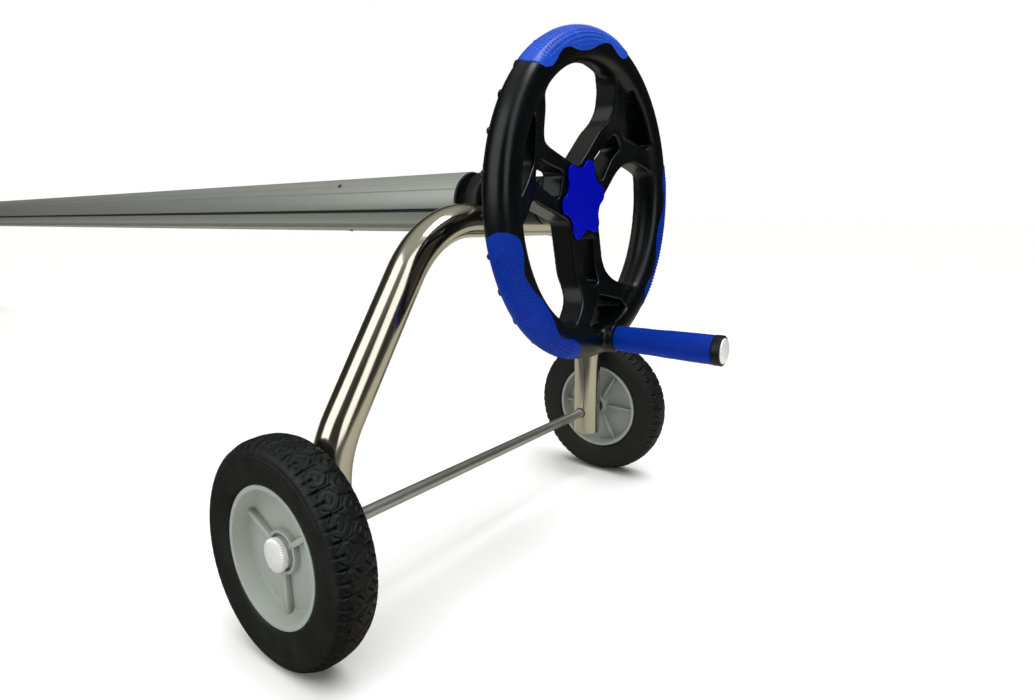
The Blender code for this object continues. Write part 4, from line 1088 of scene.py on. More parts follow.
@dataclass
class BearingBlock:
    """The black block on a stand's top, with its nylon bush and its screws, and a barrel where side is 1."""

    prefix: str
    stand_x: float
    side: float
    radius: float = 0.037
    thickness: float = 0.020
    skirt: float = 0.008
    edge: float = 0.0028
    barrel_radius: float = 0.028
    barrel_reach: float = 0.085
    barrel_sink: float = 0.003
    bush_wall: float = 0.0027
    seat_wall: float = 0.0022
    seat_proud: float = 0.0012
    screw_radius: float = 0.0038
    screw_head: float = 0.0026
    screw_circle: float = 0.0325
    screw_angle: float = 42.0

    def dress(self) -> None:
        """Add the block, the bush and the screws."""
        axis = reel_axis(stand_x=self.stand_x)
        turn = np.radians(np.linspace(0.0, 180.0, 49))
        arch = np.stack([self.radius * np.cos(turn), self.radius * np.sin(turn)], axis=1)
        low = [(-self.radius, -self.skirt), (self.radius, -self.skirt)]
        foot = rounded([tuple(arch[-1]), *low, tuple(arch[0])], 0.0015, closed=False)[1:-1]
        half = self.thickness / 2
        shells = [slab(np.concatenate([arch, foot]), edge_profile(-half, half, self.edge), axis)]
        bush_radius = SHAFT_RADIUS + GAP + self.bush_wall
        bore = bush_radius + GAP
        inside = half - self.barrel_sink
        if self.side > 0:
            barrel = rod_profile(self.barrel_radius, inside, self.barrel_reach, 0.0022, bore)
            shells.append(turned(barrel, axis, 72))
        seat = rod_profile(bush_radius + GAP + self.seat_wall, -half - self.seat_proud, inside, 0.0006, bore)
        shells.append(turned(seat, axis, 48))
        add_piece(f"{self.prefix}_block", shells, FITTING_BLACK, Body.STANDS, f"{self.prefix}_bearing_block")
        end = self.barrel_reach if self.side > 0 else STAND_RADIUS
        bush = rod_profile(bush_radius, -STAND_RADIUS, end, 0.0006, SHAFT_RADIUS + GAP)
        add_piece(f"{self.prefix}_bush", [turned(bush, axis, 48)], NYLON, Body.STANDS,
                  f"{self.prefix}_bearing_bush")
        for index, angle in enumerate((90.0 + self.screw_angle, 90.0 - self.screw_angle)):
            place = reel_axis(self.side * (half + GAP), self.screw_circle, angle, self.stand_x).place
            shell = screw_shell(place, (self.side, 0, 0), self.screw_radius, self.screw_head)
            add_piece(f"{self.prefix}_block_screw_{index + 1}", [shell], FASTENER_STEEL, Body.STANDS,
                      f"{self.prefix}_bearing_screw_{index + 1}")


def screw_shell(place: Point, along: Point, radius: float, head: float) -> Shell:
    """Make a round screw head with a six-sided recess that sinks as the inner radius falls.

    Args:
        place: Middle of the head's foot.
        along: Direction in which the head stands out.
        radius: The head's radius.
        head: The head's height.

    Returns:
        The shell.
    """
    profile = even(dome_profile(radius, head * 0.45, head, 0.0003), radius / 9)

    def recess(r: Array, distance: Array, angle: Array) -> Array:
        """Sink the middle of the dome inside a hexagon.

        Args:
            r: Radii of the surface.
            distance: Distances along the axis.
            angle: Angles round it.

        Returns:
            Heights in metres.
        """
        sector = np.mod(angle, math.pi / 3) - math.pi / 6
        inside = smooth_step(0.62 * radius, 0.46 * radius, r * np.cos(sector))
        return -inside * head * 0.45 * (distance > head * 0.5)

    helper = (0, 0, 1) if abs(along[2]) < 0.9 else (0, 1, 0)
    return turned(profile, Axis(place, along, helper), 36, closed=False, relief=recess)


# Wheels

@dataclass
class RoadWheel:
    """One wheel: a ribbed grey hub, a tyre with a block tread, and its cap and spacer on the axle."""

    label: str
    side: float
    body: Body
    y: float = 0.305
    hub_radius: float = 0.068
    hub_width: float = 0.039
    lip: float = 0.0045
    wall_taper: float = 0.005
    web_depth: float = 0.0185
    web: float = 0.004
    boss_radius: float = 0.015
    boss_depth: float = 0.0105
    boss_back: float = 0.002
    rib_width: float = 0.006
    rib_depth: float = 0.012
    rib_start: float = 35.0
    back_rib_width: float = 0.003
    back_rib_depth: float = 0.007
    collar_foot: float = 0.0068
    collar_face: float = 0.0062
    collar_rise: float = 0.0060
    tyre_radius: float = 0.110
    tyre_half: float = 0.0228
    columns: int = 870
    pitches: int = 29
    groove: float = 0.0013
    notch: float = 0.0022
    row_reach: float = 0.0096
    block_half: float = 0.0100
    diamond_half: float = 0.0036
    ring_at: float = 0.0945
    cap_radius: float = 0.016
    cap_height: float = 0.0078
    cap_side: float = 0.0042
    cap_wall: float = 0.0022
    cap_teeth: int = 40
    cap_dimples: int = 22
    spacer_radius: float = 0.011
    leg_side: float = 0.275

    @property
    def axis(self) -> Axis:
        """The axle through the wheel's middle, with angles from +X toward +Z."""
        return Axis((DRIVE_X, self.side * self.y, AXLE_HEIGHT), (0, self.side, 0), (1, 0, 0))

    def hub_shells(self) -> list[Shell]:
        """Make the hub: a turned cup with a web and a boss, a collar, three outer ribs and six inner ones.

        Returns:
            The closed shells.
        """
        half = self.hub_width / 2
        bore = AXLE_RADIUS + GAP
        web = half - self.web_depth
        wall_out = self.hub_radius - self.lip
        wall_in = wall_out - self.wall_taper
        boss_face = half - self.boss_depth
        boss_back = -(half - self.boss_back)
        boss = self.boss_radius
        corners = [(bore, boss_face), (boss, boss_face), (boss, web), (wall_in, web), (wall_out, half),
                   (self.hub_radius, half), (self.hub_radius, -half), (wall_out, -half),
                   (wall_in, web - self.web), (boss, web - self.web), (boss, boss_back), (bore, boss_back)]
        radii = [0.0005, 0.0012, 0.0025, 0.004, 0.0014, 0.0008, 0.0008, 0.0014, 0.003, 0.002, 0.001, 0.0005]
        shells = [turned(rounded(corners, radii), self.axis, 144)]
        inner, low, high = boss - 0.0002, web - 0.001, web + self.collar_rise
        collar = rounded([(inner, low), (boss + self.collar_foot, low), (boss + self.collar_face, high),
                          (boss + 0.0030, high), (boss + 0.0026, web + 0.0022), (inner, web + 0.0022)],
                         [0.0, 0.0004, 0.0009, 0.0007, 0.0004, 0.0])
        shells.append(turned(collar, self.axis, 96))
        along, _, _ = self.axis.bases()
        sets = [(3, self.rib_start, self.rib_width, web - 0.001, half - self.rib_depth, 0.0022),
                (6, 0.0, self.back_rib_width, -(half - self.back_rib_depth), web - 0.001, 0.0010)]
        for count, start, width, low, high, edge in sets:
            for angle in np.radians(start + np.arange(count) * 360.0 / count):
                out = np.array([math.cos(angle), 0.0, math.sin(angle)])
                beside = np.array([-math.sin(angle), 0.0, math.cos(angle)])
                middle = np.array(self.axis.place) + along * (low + high) / 2
                ends = middle + out * (boss - 0.001), middle + out * (wall_in + 0.002)
                shells.append(bar(ends, beside * width / 2, along * (high - low) / 2, edge))
        return shells

    def tread(self, radius: Array, distance: Array, angle: Array) -> Array:
        """Give the tyre's relief: two rows of eight-sided blocks, a zigzag between them, and notches.

        A block's outline is where the largest of its run along the tread, its run across and its slanted
        run is the block's half width. Thin grooves follow that line, a four-sided line inside each block,
        and the boundary between neighbours. Twice in each pitch a notch runs out over the shoulder, and a
        fine cut runs down the sidewall's edge. A thin ring goes round the sidewall.

        Args:
            radius: Radii of the tyre's skin.
            distance: Distances along the axle.
            angle: Angles round the axle.

        Returns:
            Heights in metres.
        """
        pitch = 2 * math.pi * self.tyre_radius / self.pitches
        row = np.where(distance >= 0.0, 0.0, 0.5)
        x = np.abs(np.mod(angle / (2 * math.pi) * self.pitches + row, 1.0) - 0.5) * pitch
        y = np.abs(np.abs(distance) - self.row_reach)
        block = np.maximum(np.maximum(x, y), (x + y) * 0.74) - self.block_half
        diamond = (x + y) / math.sqrt(2) - self.diamond_half
        line = smooth_step(0.0008, 0.0002, np.abs(block))
        inner = smooth_step(0.0007, 0.0002, np.abs(diamond))
        beyond = smooth_step(0.0, 0.0012, block)
        on_tread = smooth_step(0.1050, 0.1066, radius)
        gap = smooth_step(0.0010, 0.0004, pitch / 2 - x) * beyond
        tread = -self.groove * np.maximum(np.maximum(line, gap), 0.8 * inner) - 0.0002 * beyond
        lug = np.abs(np.mod(angle / math.pi * self.pitches, 1.0) - 0.5) * pitch / 2
        notch = smooth_step(pitch / 4 - 0.0015, pitch / 4 - 0.0006, lug)
        shoulder = smooth_step(0.0112, 0.0132, np.abs(distance)) * smooth_step(0.1020, 0.1038, radius)
        cut = smooth_step(pitch / 4 - 0.0008, pitch / 4, lug)
        sipe = cut * smooth_step(0.0970, 0.0980, radius) * (1 - on_tread)
        ring = np.exp(-((radius - self.ring_at) / 0.0006) ** 2) * (np.abs(distance) > 0.018)
        return on_tread * tread - self.notch * notch * shoulder - 0.0004 * sipe + 0.0005 * ring

    def tyre_shell(self) -> Shell:
        """Turn the tyre's section round the axle and cut its tread.

        Returns:
            The closed shell.
        """
        seat = self.hub_radius + GAP
        half = self.hub_width / 2
        side = [(seat, half), (0.0735, half + 0.0012), (0.0870, self.tyre_half),
                (0.1000, self.tyre_half - 0.0002), (0.1056, self.tyre_half - 0.0040),
                (0.1090, 0.0108), (self.tyre_radius, 0.0)]
        corners = side + [(radius, -distance) for radius, distance in reversed(side[:-1])]
        radii = [0.0008, 0.006, 0.012, 0.008, 0.006, 0.012, 0.03]
        section = rounded(corners, radii + radii[-2::-1], steps=10)

        def spacing(at: Array) -> Array:
            """Ask for close rows on the tread and on the thin sidewall ring."""
            fine = np.where(at[:, 0] > 0.0965, 0.00078, 0.0040)
            return np.where(np.abs(at[:, 0] - self.ring_at) < 0.0014, 0.0005, fine)

        return turned(respaced(section, spacing), self.axis, self.columns, relief=self.tread)

    def cap_shell(self) -> Shell:
        """Make the push-on axle cap: a dome with fine teeth round its edge and a hammered top.

        Returns:
            The closed shell.
        """
        back = self.hub_width / 2 - self.boss_depth + GAP
        profile = dome_profile(self.cap_radius, self.cap_side, self.cap_height, 0.0005,
                               self.cap_height - self.cap_wall, AXLE_RADIUS + GAP)
        profile = even(profile + np.array([0.0, back]), 0.0006)

        def teeth(radius: Array, distance: Array, angle: Array) -> Array:
            """Cut teeth in the outer edge and dimple the dome in rings.

            Args:
                radius: Radii of the surface.
                distance: Distances along the axis.
                angle: Angles round it.

            Returns:
                Heights in metres.
            """
            top = distance > back + self.cap_side * 0.5
            edge = smooth_step(0.0118, 0.0150, radius) * np.cos(angle * self.cap_teeth) * 0.00035
            hammered = np.sin(radius / 0.00036) * np.cos(angle * self.cap_dimples) * 0.00018
            return (edge + smooth_step(0.0125, 0.0105, radius) * hammered) * top

        return turned(profile, self.axis, 200, closed=False, relief=teeth)

    def dress(self) -> None:
        """Add the hub, the tyre, the cap and the spacer."""
        add_piece(f"{self.label}_hub", self.hub_shells(), HUB_GREY, self.body, f"{self.label}_wheel_hub",
                  sharp=60.0)
        add_piece(f"{self.label}_tyre", [self.tyre_shell()], RUBBER, self.body, f"{self.label}_wheel_tyre",
                  sharp=75.0)
        add_piece(f"{self.label}_cap", [self.cap_shell()], CAP_METAL, Body.STANDS, f"{self.label}_axle_cap",
                  sharp=75.0)
        inner = self.leg_side + GAP - self.y
        outer = -(self.hub_width / 2 - self.boss_back) - GAP
        spacer = rod_profile(self.spacer_radius, inner, outer, 0.0006, AXLE_RADIUS + GAP)
        add_piece(f"{self.label}_spacer", [turned(spacer, self.axis, 48)], FITTING_BLACK, Body.STANDS,
                  f"{self.label}_wheel_spacer")


# Tube

@dataclass
class ReelTube:
    """The long tube with its strap grooves, its end plugs, its rivets and the idle end's shaft cap."""

    length: float = 3.2
    radius: float = 0.038
    wall: float = 0.0026
    columns: int = 720
    groove_angles: tuple[float, ...] = (196.0, 316.0, 76.0)
    line_angles: tuple[float, ...] = (156.0, 138.0, 276.0, 258.0, 36.0, 18.0)
    channel_angle: float = 233.0
    groove_half: float = 0.0023
    groove_depth: float = 0.0020
    line_half: float = 0.0007
    line_share: float = 0.35
    channel_half: float = 0.0047
    channel_share: float = 0.70
    clear: float = 0.0225
    flange: float = 0.0025
    flange_radius: float = 0.0372
    insert: float = 0.275
    rivet_radius: float = 0.0028
    rivet_head: float = 0.0014
    rivet_setback: float = 0.230
    rivet_angle: float = 136.0
    cap_radius: float = 0.0165
    cap_height: float = 0.012
    cap_side: float = 0.009
    cap_hollow: float = 0.008

    def grooves(self, radius: Array, distance: Array, angle: Array) -> Array:
        """Sink the strap grooves, the fine lines and the wide channel along the outer skin.

        Args:
            radius: Radii of the tube's surface.
            distance: Distances along it; not used.
            angle: Angles round it.

        Returns:
            Heights in metres.
        """
        outer = radius > self.radius - self.wall * 0.4

        def away(middle: float) -> Array:
            """Measure the run round the skin from a line at an angle."""
            return np.abs(np.mod(angle - math.radians(middle) + math.pi, 2 * math.pi) - math.pi) * self.radius

        depth = np.zeros(angle.shape)
        for groove in self.groove_angles:
            depth = depth + smooth_step(self.groove_half + 0.0004, self.groove_half - 0.0004, away(groove))
        for line in self.line_angles:
            depth = depth + self.line_share * np.exp(-(away(line) / self.line_half) ** 2)
        half = self.channel_half
        channel = smooth_step(half + 0.0005, half - 0.0005, away(self.channel_angle))
        return -(depth + self.channel_share * channel) * self.groove_depth * outer

    def dress(self) -> None:
        """Add the tube, both plugs, the rivets and the idle cap."""
        half = self.length / 2
        inner = self.radius - self.wall
        profile = rounded([(inner, -half), (self.radius, -half), (self.radius, half), (inner, half)], 0.0007,
                          steps=3)
        axis = reel_axis(stand_x=(DRIVE_X + IDLE_X) / 2)
        tube = turned(profile, axis, self.columns, relief=self.grooves)
        add_piece("tube", [tube], ALUMINIUM, Body.REEL, "reel_tube", sharp=40.0)
        for prefix, stand_x, side in (("drive", DRIVE_X, 1), ("idle", IDLE_X, -1)):
            self.dress_end(prefix, stand_x, side)
        place = (IDLE_X - self.clear, 0.0, REEL_HEIGHT)
        cap = dome_profile(self.cap_radius, self.cap_side, self.cap_height, 0.0006, self.cap_hollow,
                           SHAFT_RADIUS + GAP)
        shell = turned(cap, Axis(place, (-1, 0, 0), (0, 1, 0)), 64, closed=False)
        add_piece("idle_cap", [shell], FITTING_BLACK, Body.REEL, "idle_shaft_cap")

    def dress_end(self, prefix: str, stand_x: float, side: int) -> None:
        """Add one end's plug and rivets.

        Args:
            prefix: The end's name.
            stand_x: X of the end's stand.
            side: 1 for the end toward +X, -1 for the other.
        """
        face = side * -self.clear
        bore, spigot = SHAFT_RADIUS + GAP, self.radius - self.wall - GAP
        corners = [(bore, 0.0), (self.flange_radius, 0.0), (self.flange_radius, self.flange),
                   (spigot, self.flange), (spigot, self.insert), (bore, self.insert)]
        shape = rounded(corners, [0.0004, 0.0011, 0.0006, 0.0002, 0.001, 0.0004], steps=3)
        plug = turned(shape, Axis((stand_x + face, 0.0, REEL_HEIGHT), (-side, 0, 0), (0, 1, 0)), 96)
        add_piece(f"{prefix}_plug", [plug], FITTING_BLACK, Body.REEL, f"{prefix}_tube_plug")
        setback = face - side * (self.flange + GAP) - side * self.rivet_setback
        shape = even(dome_profile(self.rivet_radius, 0.0005, self.rivet_head, 0.0002), 0.0004)
        for index in range(3):
            angle = self.rivet_angle + index * 120.0
            out = (0.0, math.cos(math.radians(angle)), math.sin(math.radians(angle)))
            foot = reel_axis(setback, self.radius + GAP, angle, stand_x).place
            rivet = turned(shape, Axis(foot, out, (1, 0, 0)), 32, closed=False)
            add_piece(f"{prefix}_rivet_{index + 1}", [rivet], RIVET_STEEL, Body.REEL,
                      f"{prefix}_tube_rivet_{index + 1}")


# Hand wheel

@dataclass
class HandWheel:
    """The hand wheel: a dished three-spoke front body, a ridged back shell and three grips on the rim."""

    rim_radius: float = 0.178
    section: float = 0.035
    rim_back: float = 0.1265
    rim_depth: float = 0.0335
    seam: float = 0.136
    squareness: float = 0.82
    lip: float = 0.1525
    spoke_start: float = 44.0
    spoke_width: float = 0.062
    plate: float = 0.027
    front: float = 0.134
    rise: float = 0.016
    rise_start: float = 0.080
    rise_end: float = 0.138
    skirt: float = 0.012
    bed_face: float = 0.127
    bed_radius: float = 0.024
    boss_radius: float = 0.028
    boss_start: float = 0.0865
    boss_end: float = 0.1235
    edge: float = 0.0015
    cell: float = 0.00172
    rim_fillet: float = 0.0075
    boss_fillet: float = 0.006
    window_edge: float = 0.0022
    opening_half: float = 0.074
    opening_lap: float = 0.007
    slot_start: float = 0.045
    slot_end: float = 0.101
    slot_half: float = 0.016
    slot_half_out: float = 0.0105
    window_half: float = 0.040
    window_start: float = 0.113
    window_knee: float = 0.134
    window_reach: float = 0.148
    bead: float = 0.0006
    bead_inset: float = 0.0028
    bead_half: float = 0.0011
    crank_boss: float = 0.0165
    crank_start: float = 0.140
    crank_reach: float = 0.168
    ridges: int = 28
    ridge_height: float = 0.0018
    ridge_half: float = 0.0020
    ridge_columns: int = 1120
    screw_radius: float = 0.0036
    screw_head: float = 0.0018
    grip_middle: float = 104.0
    grip_proud: float = 0.0009
    grip_sunk: float = 0.0010
    grip_roll: float = 0.0013
    grip_half: float = 30.6
    grip_bulge: float = 2.3
    grip_reach: float = 0.092
    grip_radius: float = 0.170
    dot_pitch: float = 0.0046
    row_pitch: float = 0.0038
    dot_height: float = 0.0010
    dot_radius: float = 0.0013

    @property
    def middle(self) -> tuple[float, float]:
        """Radius and distance of the rim section's middle."""
        return self.rim_radius - self.section / 2, self.rim_back + self.rim_depth / 2

    def rim_point(self, turn: Array, proud: Array | float = 0.0) -> tuple[Array, Array]:
        """Give places on the rim's rounded-square section.

        Args:
            turn: Angles round the section.
            proud: How far the places stand out from it.

        Returns:
            Radii and distances along the axis.
        """
        half_r, half_a = self.section / 2 + proud, self.rim_depth / 2 + proud
        cosine, sine = np.cos(turn), np.sin(turn)
        r, a = self.middle
        return (r + half_r * np.sign(cosine) * np.abs(cosine) ** self.squareness,
                a + half_a * np.sign(sine) * np.abs(sine) ** self.squareness)

    def outlines(self) -> tuple[Array, Array, Array]:
        """Outline an opening, a slot and a window, with the spoke's middle line on the first axis.

        Returns:
            The opening whose middle lies at 60 degrees, the slot and the window.
        """
        step = math.radians(60.0)
        outer = self.rim_radius - self.section + self.opening_lap
        half = self.opening_half
        hub = self.spoke_width / 2 / math.sin(step)
        knee = hub + half / math.tan(step)
        swing = math.asin(half / outer)
        arc = np.linspace(-swing, swing, 25)
        corners = [(hub, 0.0), (knee, -half), *zip(outer * np.cos(arc), outer * np.sin(arc)), (knee, half)]
        radii = [0.015, 0.026, 0.012] + [0.0] * (len(arc) - 2) + [0.012, 0.026]
        opening = rounded(corners, radii, steps=8)
        turn = np.array([[math.cos(step), -math.sin(step)], [math.sin(step), math.cos(step)]])
        opening = opening @ turn.T
        slot = rounded([(self.slot_start, -self.slot_half), (self.slot_end, -self.slot_half_out),
                        (self.slot_end, self.slot_half_out), (self.slot_start, self.slot_half)], 0.006)
        reach, half, knee = self.window_reach, self.window_half, self.window_knee
        arc = np.linspace(-math.asin(half / reach), math.asin(half / reach), 9)
        corners = [(self.window_start, 0.0), (knee, -half), *zip(reach * np.cos(arc), reach * np.sin(arc)),
                   (knee, half)]
        window = rounded(corners, [0.006, 0.005, 0.003] + [0.0] * 7 + [0.003, 0.005])
        return opening, slot, window

    def plan(self, y: Array, z: Array) -> tuple[Array, Array, Array]:
        """Measure points in the wheel's plane.

        Args:
            y: First coordinates.
            z: Second coordinates.

        Returns:
            Radius, distance to the nearest edge, below 0 in material, and the same for the windows alone.
        """
        radius = np.hypot(y, z)
        angle = np.degrees(np.arctan2(z, y))
        turn = np.radians(np.abs(np.mod(angle - self.spoke_start + 60.0, 120.0) - 60.0))
        x, across = radius * np.cos(turn), radius * np.sin(turn)
        holes = [outline_distance(x, across, outline) for outline in self.outlines()]
        return radius, -np.minimum(np.minimum(holes[0], holes[1]), holes[2]), -holes[2]

    def solid(self, along: Array, y: Array, z: Array, radius: Array, edge: Array, window: Array) -> Array:
        """Give the body's distance field.

        The plate is the plan's material, carried through the plate's thickness behind a front that rises
        toward the rim, with rounded edges, a bead beside them and a deeper wall round each window. The rim
        is a rounded square turned round the axis. Plate, rim, hub boss and crank boss are joined with
        fillets. The windows, the knob's round bed and the back shell's room are cut away.

        Args:
            along: Distances along the axis.
            y: First coordinates in the wheel's plane.
            z: Second coordinates in the wheel's plane.
            radius: Radii in the wheel's plane.
            edge: Distances to the nearest edge in the plane.
            window: Distances to the nearest window's edge, below 0 outside it.

        Returns:
            Distances, below 0 inside the body.
        """
        face = self.front + self.rise * smooth_step(self.rise_start, self.rise_end, radius)
        beside = np.exp(-((edge + self.bead_inset) / self.bead_half) ** 2)
        face = face + self.bead * beside * smooth_step(0.046, 0.050, radius)
        depth = self.plate + self.skirt * smooth_step(0.0065, 0.0035, -window)
        plate = both(edge, np.abs(along - face + depth / 2) - depth / 2, self.edge)
        plate = np.maximum(plate, radius - self.lip)
        middle, axial = self.middle
        across, deep = radius - middle, along - axial
        power = 2 / self.squareness
        size = ((np.abs(across) / (self.section / 2)) ** power
                + (np.abs(deep) / (self.rim_depth / 2)) ** power) ** (1 / power)
        rim = np.hypot(across, deep) * (1 - 1 / np.maximum(size, 0.05))
        pocket = np.minimum(window, along - self.front + self.plate)
        body = -smooth_union(-smooth_union(plate, rim, self.rim_fillet), -pocket, self.window_edge)
        centre, half = (self.boss_start + self.boss_end) / 2, (self.boss_end - self.boss_start) / 2
        boss = np.maximum(radius - self.boss_radius, np.abs(along - centre) - half)
        body = smooth_union(body, boss, self.boss_fillet)
        turn = math.radians(CRANK_ANGLE)
        away = np.hypot(y - CRANK_RADIUS * math.cos(turn), z - CRANK_RADIUS * math.sin(turn))
        centre, half = (self.crank_start + self.crank_reach) / 2, (self.crank_reach - self.crank_start) / 2
        collar = both(away - self.crank_boss, np.abs(along - centre) - half, self.edge)
        body = smooth_union(body, collar, self.boss_fillet)
        body = np.maximum(body, np.minimum(self.bed_radius - radius, along - self.bed_face))
        return np.maximum(body, np.minimum(self.seam - along, radius - self.lip))

    def body_shell(self) -> Shell:
        """Net the front body's distance field.

        Returns:
            The closed shell.
        """
        reach = self.rim_radius + 2 * self.cell

        def on_grid(a: Array, y: Array, z: Array) -> Array:
            """Give the field on a grid; the plan is worked out once for each column.

            Args:
                a: Distances along the axis.
                y: First coordinates in the wheel's plane.
                z: Second coordinates in the wheel's plane.

            Returns:
                The field, by distance, first and second coordinate.
            """
            flat_y, flat_z = np.meshgrid(y, z, indexing="ij")
            plan = [part[None] for part in self.plan(flat_y, flat_z)]
            return self.solid(a[:, None, None], flat_y[None], flat_z[None], *plan)

        def at(points: Array) -> Array:
            """Give the field at loose points."""
            a, y, z = points.T
            return self.solid(a, y, z, *self.plan(y, z))

        low = np.array([self.boss_start - 2 * self.cell, -reach, -reach])
        high = np.array([self.crank_reach + 2 * self.cell, reach, reach])
        shell = net_shell(low, high, self.cell, on_grid, at)
        shell.points = shell.points + np.array([DRIVE_X, 0.0, REEL_HEIGHT])
        return shell

    def back_shell(self) -> Shell:
        """Turn the back half of the rim's section, with a rounded finger ridge every few degrees.

        Returns:
            The closed shell.
        """
        middle, axial = self.middle
        share = (axial - self.seam) / (self.rim_depth / 2)
        first = -math.asin(share ** (1 / self.squareness))
        last = -math.pi + math.acos(((middle - self.lip) / (self.section / 2)) ** (1 / self.squareness))
        r, a = self.rim_point(np.linspace(first, last, 44))
        skin = np.stack([np.maximum(r, self.lip + GAP), np.minimum(a, self.seam - GAP)], axis=1)
        skin[0, 1] = self.seam - GAP - 0.0004
        inner = np.array([[self.lip + GAP, self.seam - GAP], [self.rim_radius - 0.0020, self.seam - GAP]])
        profile = np.concatenate([skin, inner])

        def ridge(radius: Array, distance: Array, angle: Array) -> Array:
            """Raise a rounded ridge across the back at each step.

            Args:
                radius: Radii of the surface.
                distance: Distances along the axis.
                angle: Angles round it.

            Returns:
                Heights in metres.
            """
            step = 2 * math.pi / self.ridges
            away = np.abs(np.mod(angle, step) - step / 2) * radius
            across = smooth_step(0.1535, 0.1570, radius) * (distance < self.seam - 0.0012)
            fade = smooth_step(self.seam - 0.0010, self.seam - 0.0032, distance)
            return self.ridge_height * np.exp(-(away / self.ridge_half) ** 4) * across * fade

        return turned(profile, reel_axis(), self.ridge_columns, relief=ridge)

    def wave(self, turn: Array) -> Array:
        """Give the wavy inner edge of a grip, as a smoothed line along measured knots.

        Args:
            turn: Angles from the grip's middle.

        Returns:
            Angles round the rim's section.
        """
        knots = np.array([(-36.0, 40.0), (-34.0, 56.0), (-32.0, 77.0), (-29.5, 90.0), (-26.8, 95.0),
                          (-24.0, 93.5), (-21.0, 88.5), (-17.7, 81.0), (-14.5, 84.5), (-11.0, 90.0),
                          (-8.2, 95.5), (-5.3, 104.0), (-2.5, 110.6), (1.0, 112.6), (4.5, 110.5),
                          (8.0, 102.0), (11.5, 90.5), (14.3, 85.8), (17.5, 84.3), (20.5, 87.5),
                          (23.5, 92.5), (26.2, 94.0), (28.5, 90.0), (30.6, 82.0), (33.0, 60.0),
                          (36.0, 40.0)])
        fine = np.linspace(-36.0, 36.0, 721)
        edge = np.interp(fine, knots[:, 0], knots[:, 1])
        kernel = np.exp(-(np.arange(-14, 15) / 8.0) ** 2)
        edge = np.convolve(np.pad(edge, 14, mode="edge"), kernel / kernel.sum(), mode="valid")
        return np.interp(turn, fine, edge)

    def grip_shell(self, middle: float) -> Shell:
        """Make one grip: a sheet on the rim with a wavy inner edge, rolled edges and rows of raised dots.

        Rows run along the rim and columns across its section, first over the skin and then back under
        it. The skin's height rises along a quarter circle from every edge.

        Args:
            middle: Angle of the grip's middle in degrees.

        Returns:
            The closed shell.
        """
        u = np.concatenate([[0.0, 0.0012, 0.003, 0.006, 0.0095], np.linspace(0.014, 0.986, 340),
                            [0.9905, 0.994, 0.997, 0.9988, 1.0]]) * 2 - 1
        v = np.concatenate([[0.0, 0.005, 0.012, 0.022, 0.034], np.linspace(0.05, 0.95, 98),
                            [0.966, 0.978, 0.988, 0.995, 1.0]])
        section = np.radians(np.linspace(-60.0, 150.0, 1200))
        r, a = self.rim_point(section)
        run = np.concatenate([[0.0], np.cumsum(np.hypot(np.diff(r), np.diff(a)))])
        start = np.interp(math.radians(-31.5), section, run)
        across = np.interp(np.radians(self.wave(u * (self.grip_half + 0.2))), section, run)
        length = start + (across - start)[:, None] * v[None]
        turn = u[:, None] * (self.grip_half + self.grip_bulge * np.sin(math.pi * v[None]))
        from_end = (1 - np.abs(u[:, None])) * self.grip_reach * np.ones_like(length)
        from_side = np.minimum(length - start, across[:, None] - length)
        from_edge = np.minimum(from_end, from_side)
        near = np.clip(1 - from_edge / self.grip_roll, 0.0, 1.0)
        lift = np.sqrt(1 - near ** 2)
        top = -self.grip_sunk + (self.grip_proud + self.grip_sunk) * lift
        x = np.radians(turn) * self.grip_radius / self.dot_pitch
        y = (length - start) / self.row_pitch
        stagger = np.mod(np.floor(y), 2) * 0.5
        dot = np.hypot((np.mod(x + stagger, 1.0) - 0.5) * self.dot_pitch,
                       (np.mod(y, 1.0) - 0.5) * self.row_pitch)
        bed = smooth_step(0.0022, 0.0036, from_edge) * smooth_step(30.0, 24.0, np.abs(turn))
        bed = bed * smooth_step(0.004, 0.010, length - start)
        top = top + self.dot_height * smooth_step(self.dot_radius, 0.0004, dot) * bed
        angle = np.radians(middle + turn)
        section_turn = np.interp(length, run, section)
        over = self.rim_point(section_turn, top)
        under = self.rim_point(section_turn, -self.grip_sunk - 0.0012 * lift)
        radius = np.concatenate([over[0], under[0][:, ::-1]], axis=1)
        distance = np.concatenate([over[1], under[1][:, ::-1]], axis=1)
        angle = np.concatenate([angle, angle[:, ::-1]], axis=1)
        return grid_shell(reel_axis().carry(radius, distance, angle), wrap_rows=False)

    def dress(self) -> None:
        """Add the body, the back shell, the grips and the screws in the back."""
        add_piece("hand_wheel_front", [self.body_shell()], WHEEL_BLACK, Body.REEL, "hand_wheel_body",
                  sharp=70.0)
        add_piece("hand_wheel_back", [self.back_shell()], WHEEL_BLACK, Body.REEL, "hand_wheel_back_shell",
                  sharp=60.0)
        # The top grip wears the lighter copy of the grip blue, its painted light
        grips = (("top", PAINTED_LIT_GRIP_BLUE), ("near", GRIP_BLUE), ("far", GRIP_BLUE))
        for index, (label, finish) in enumerate(grips):
            add_piece(f"{label}_grip", [self.grip_shell(self.grip_middle + index * 120.0)], finish, Body.REEL,
                      f"{label}_rim_grip", sharp=80.0)
        step = 360.0 / self.ridges
        for index in range(6):
            angle = step * round((self.spoke_start + 30.0 + index * 60.0) / step)
            place = reel_axis(self.rim_back - GAP, self.middle[0], angle).place
            shell = screw_shell(place, (-1, 0, 0), self.screw_radius, self.screw_head)
            add_piece(f"hand_wheel_back_screw_{index + 1}", [shell], FASTENER_STEEL, Body.REEL,
                      f"hand_wheel_screw_{index + 1}")


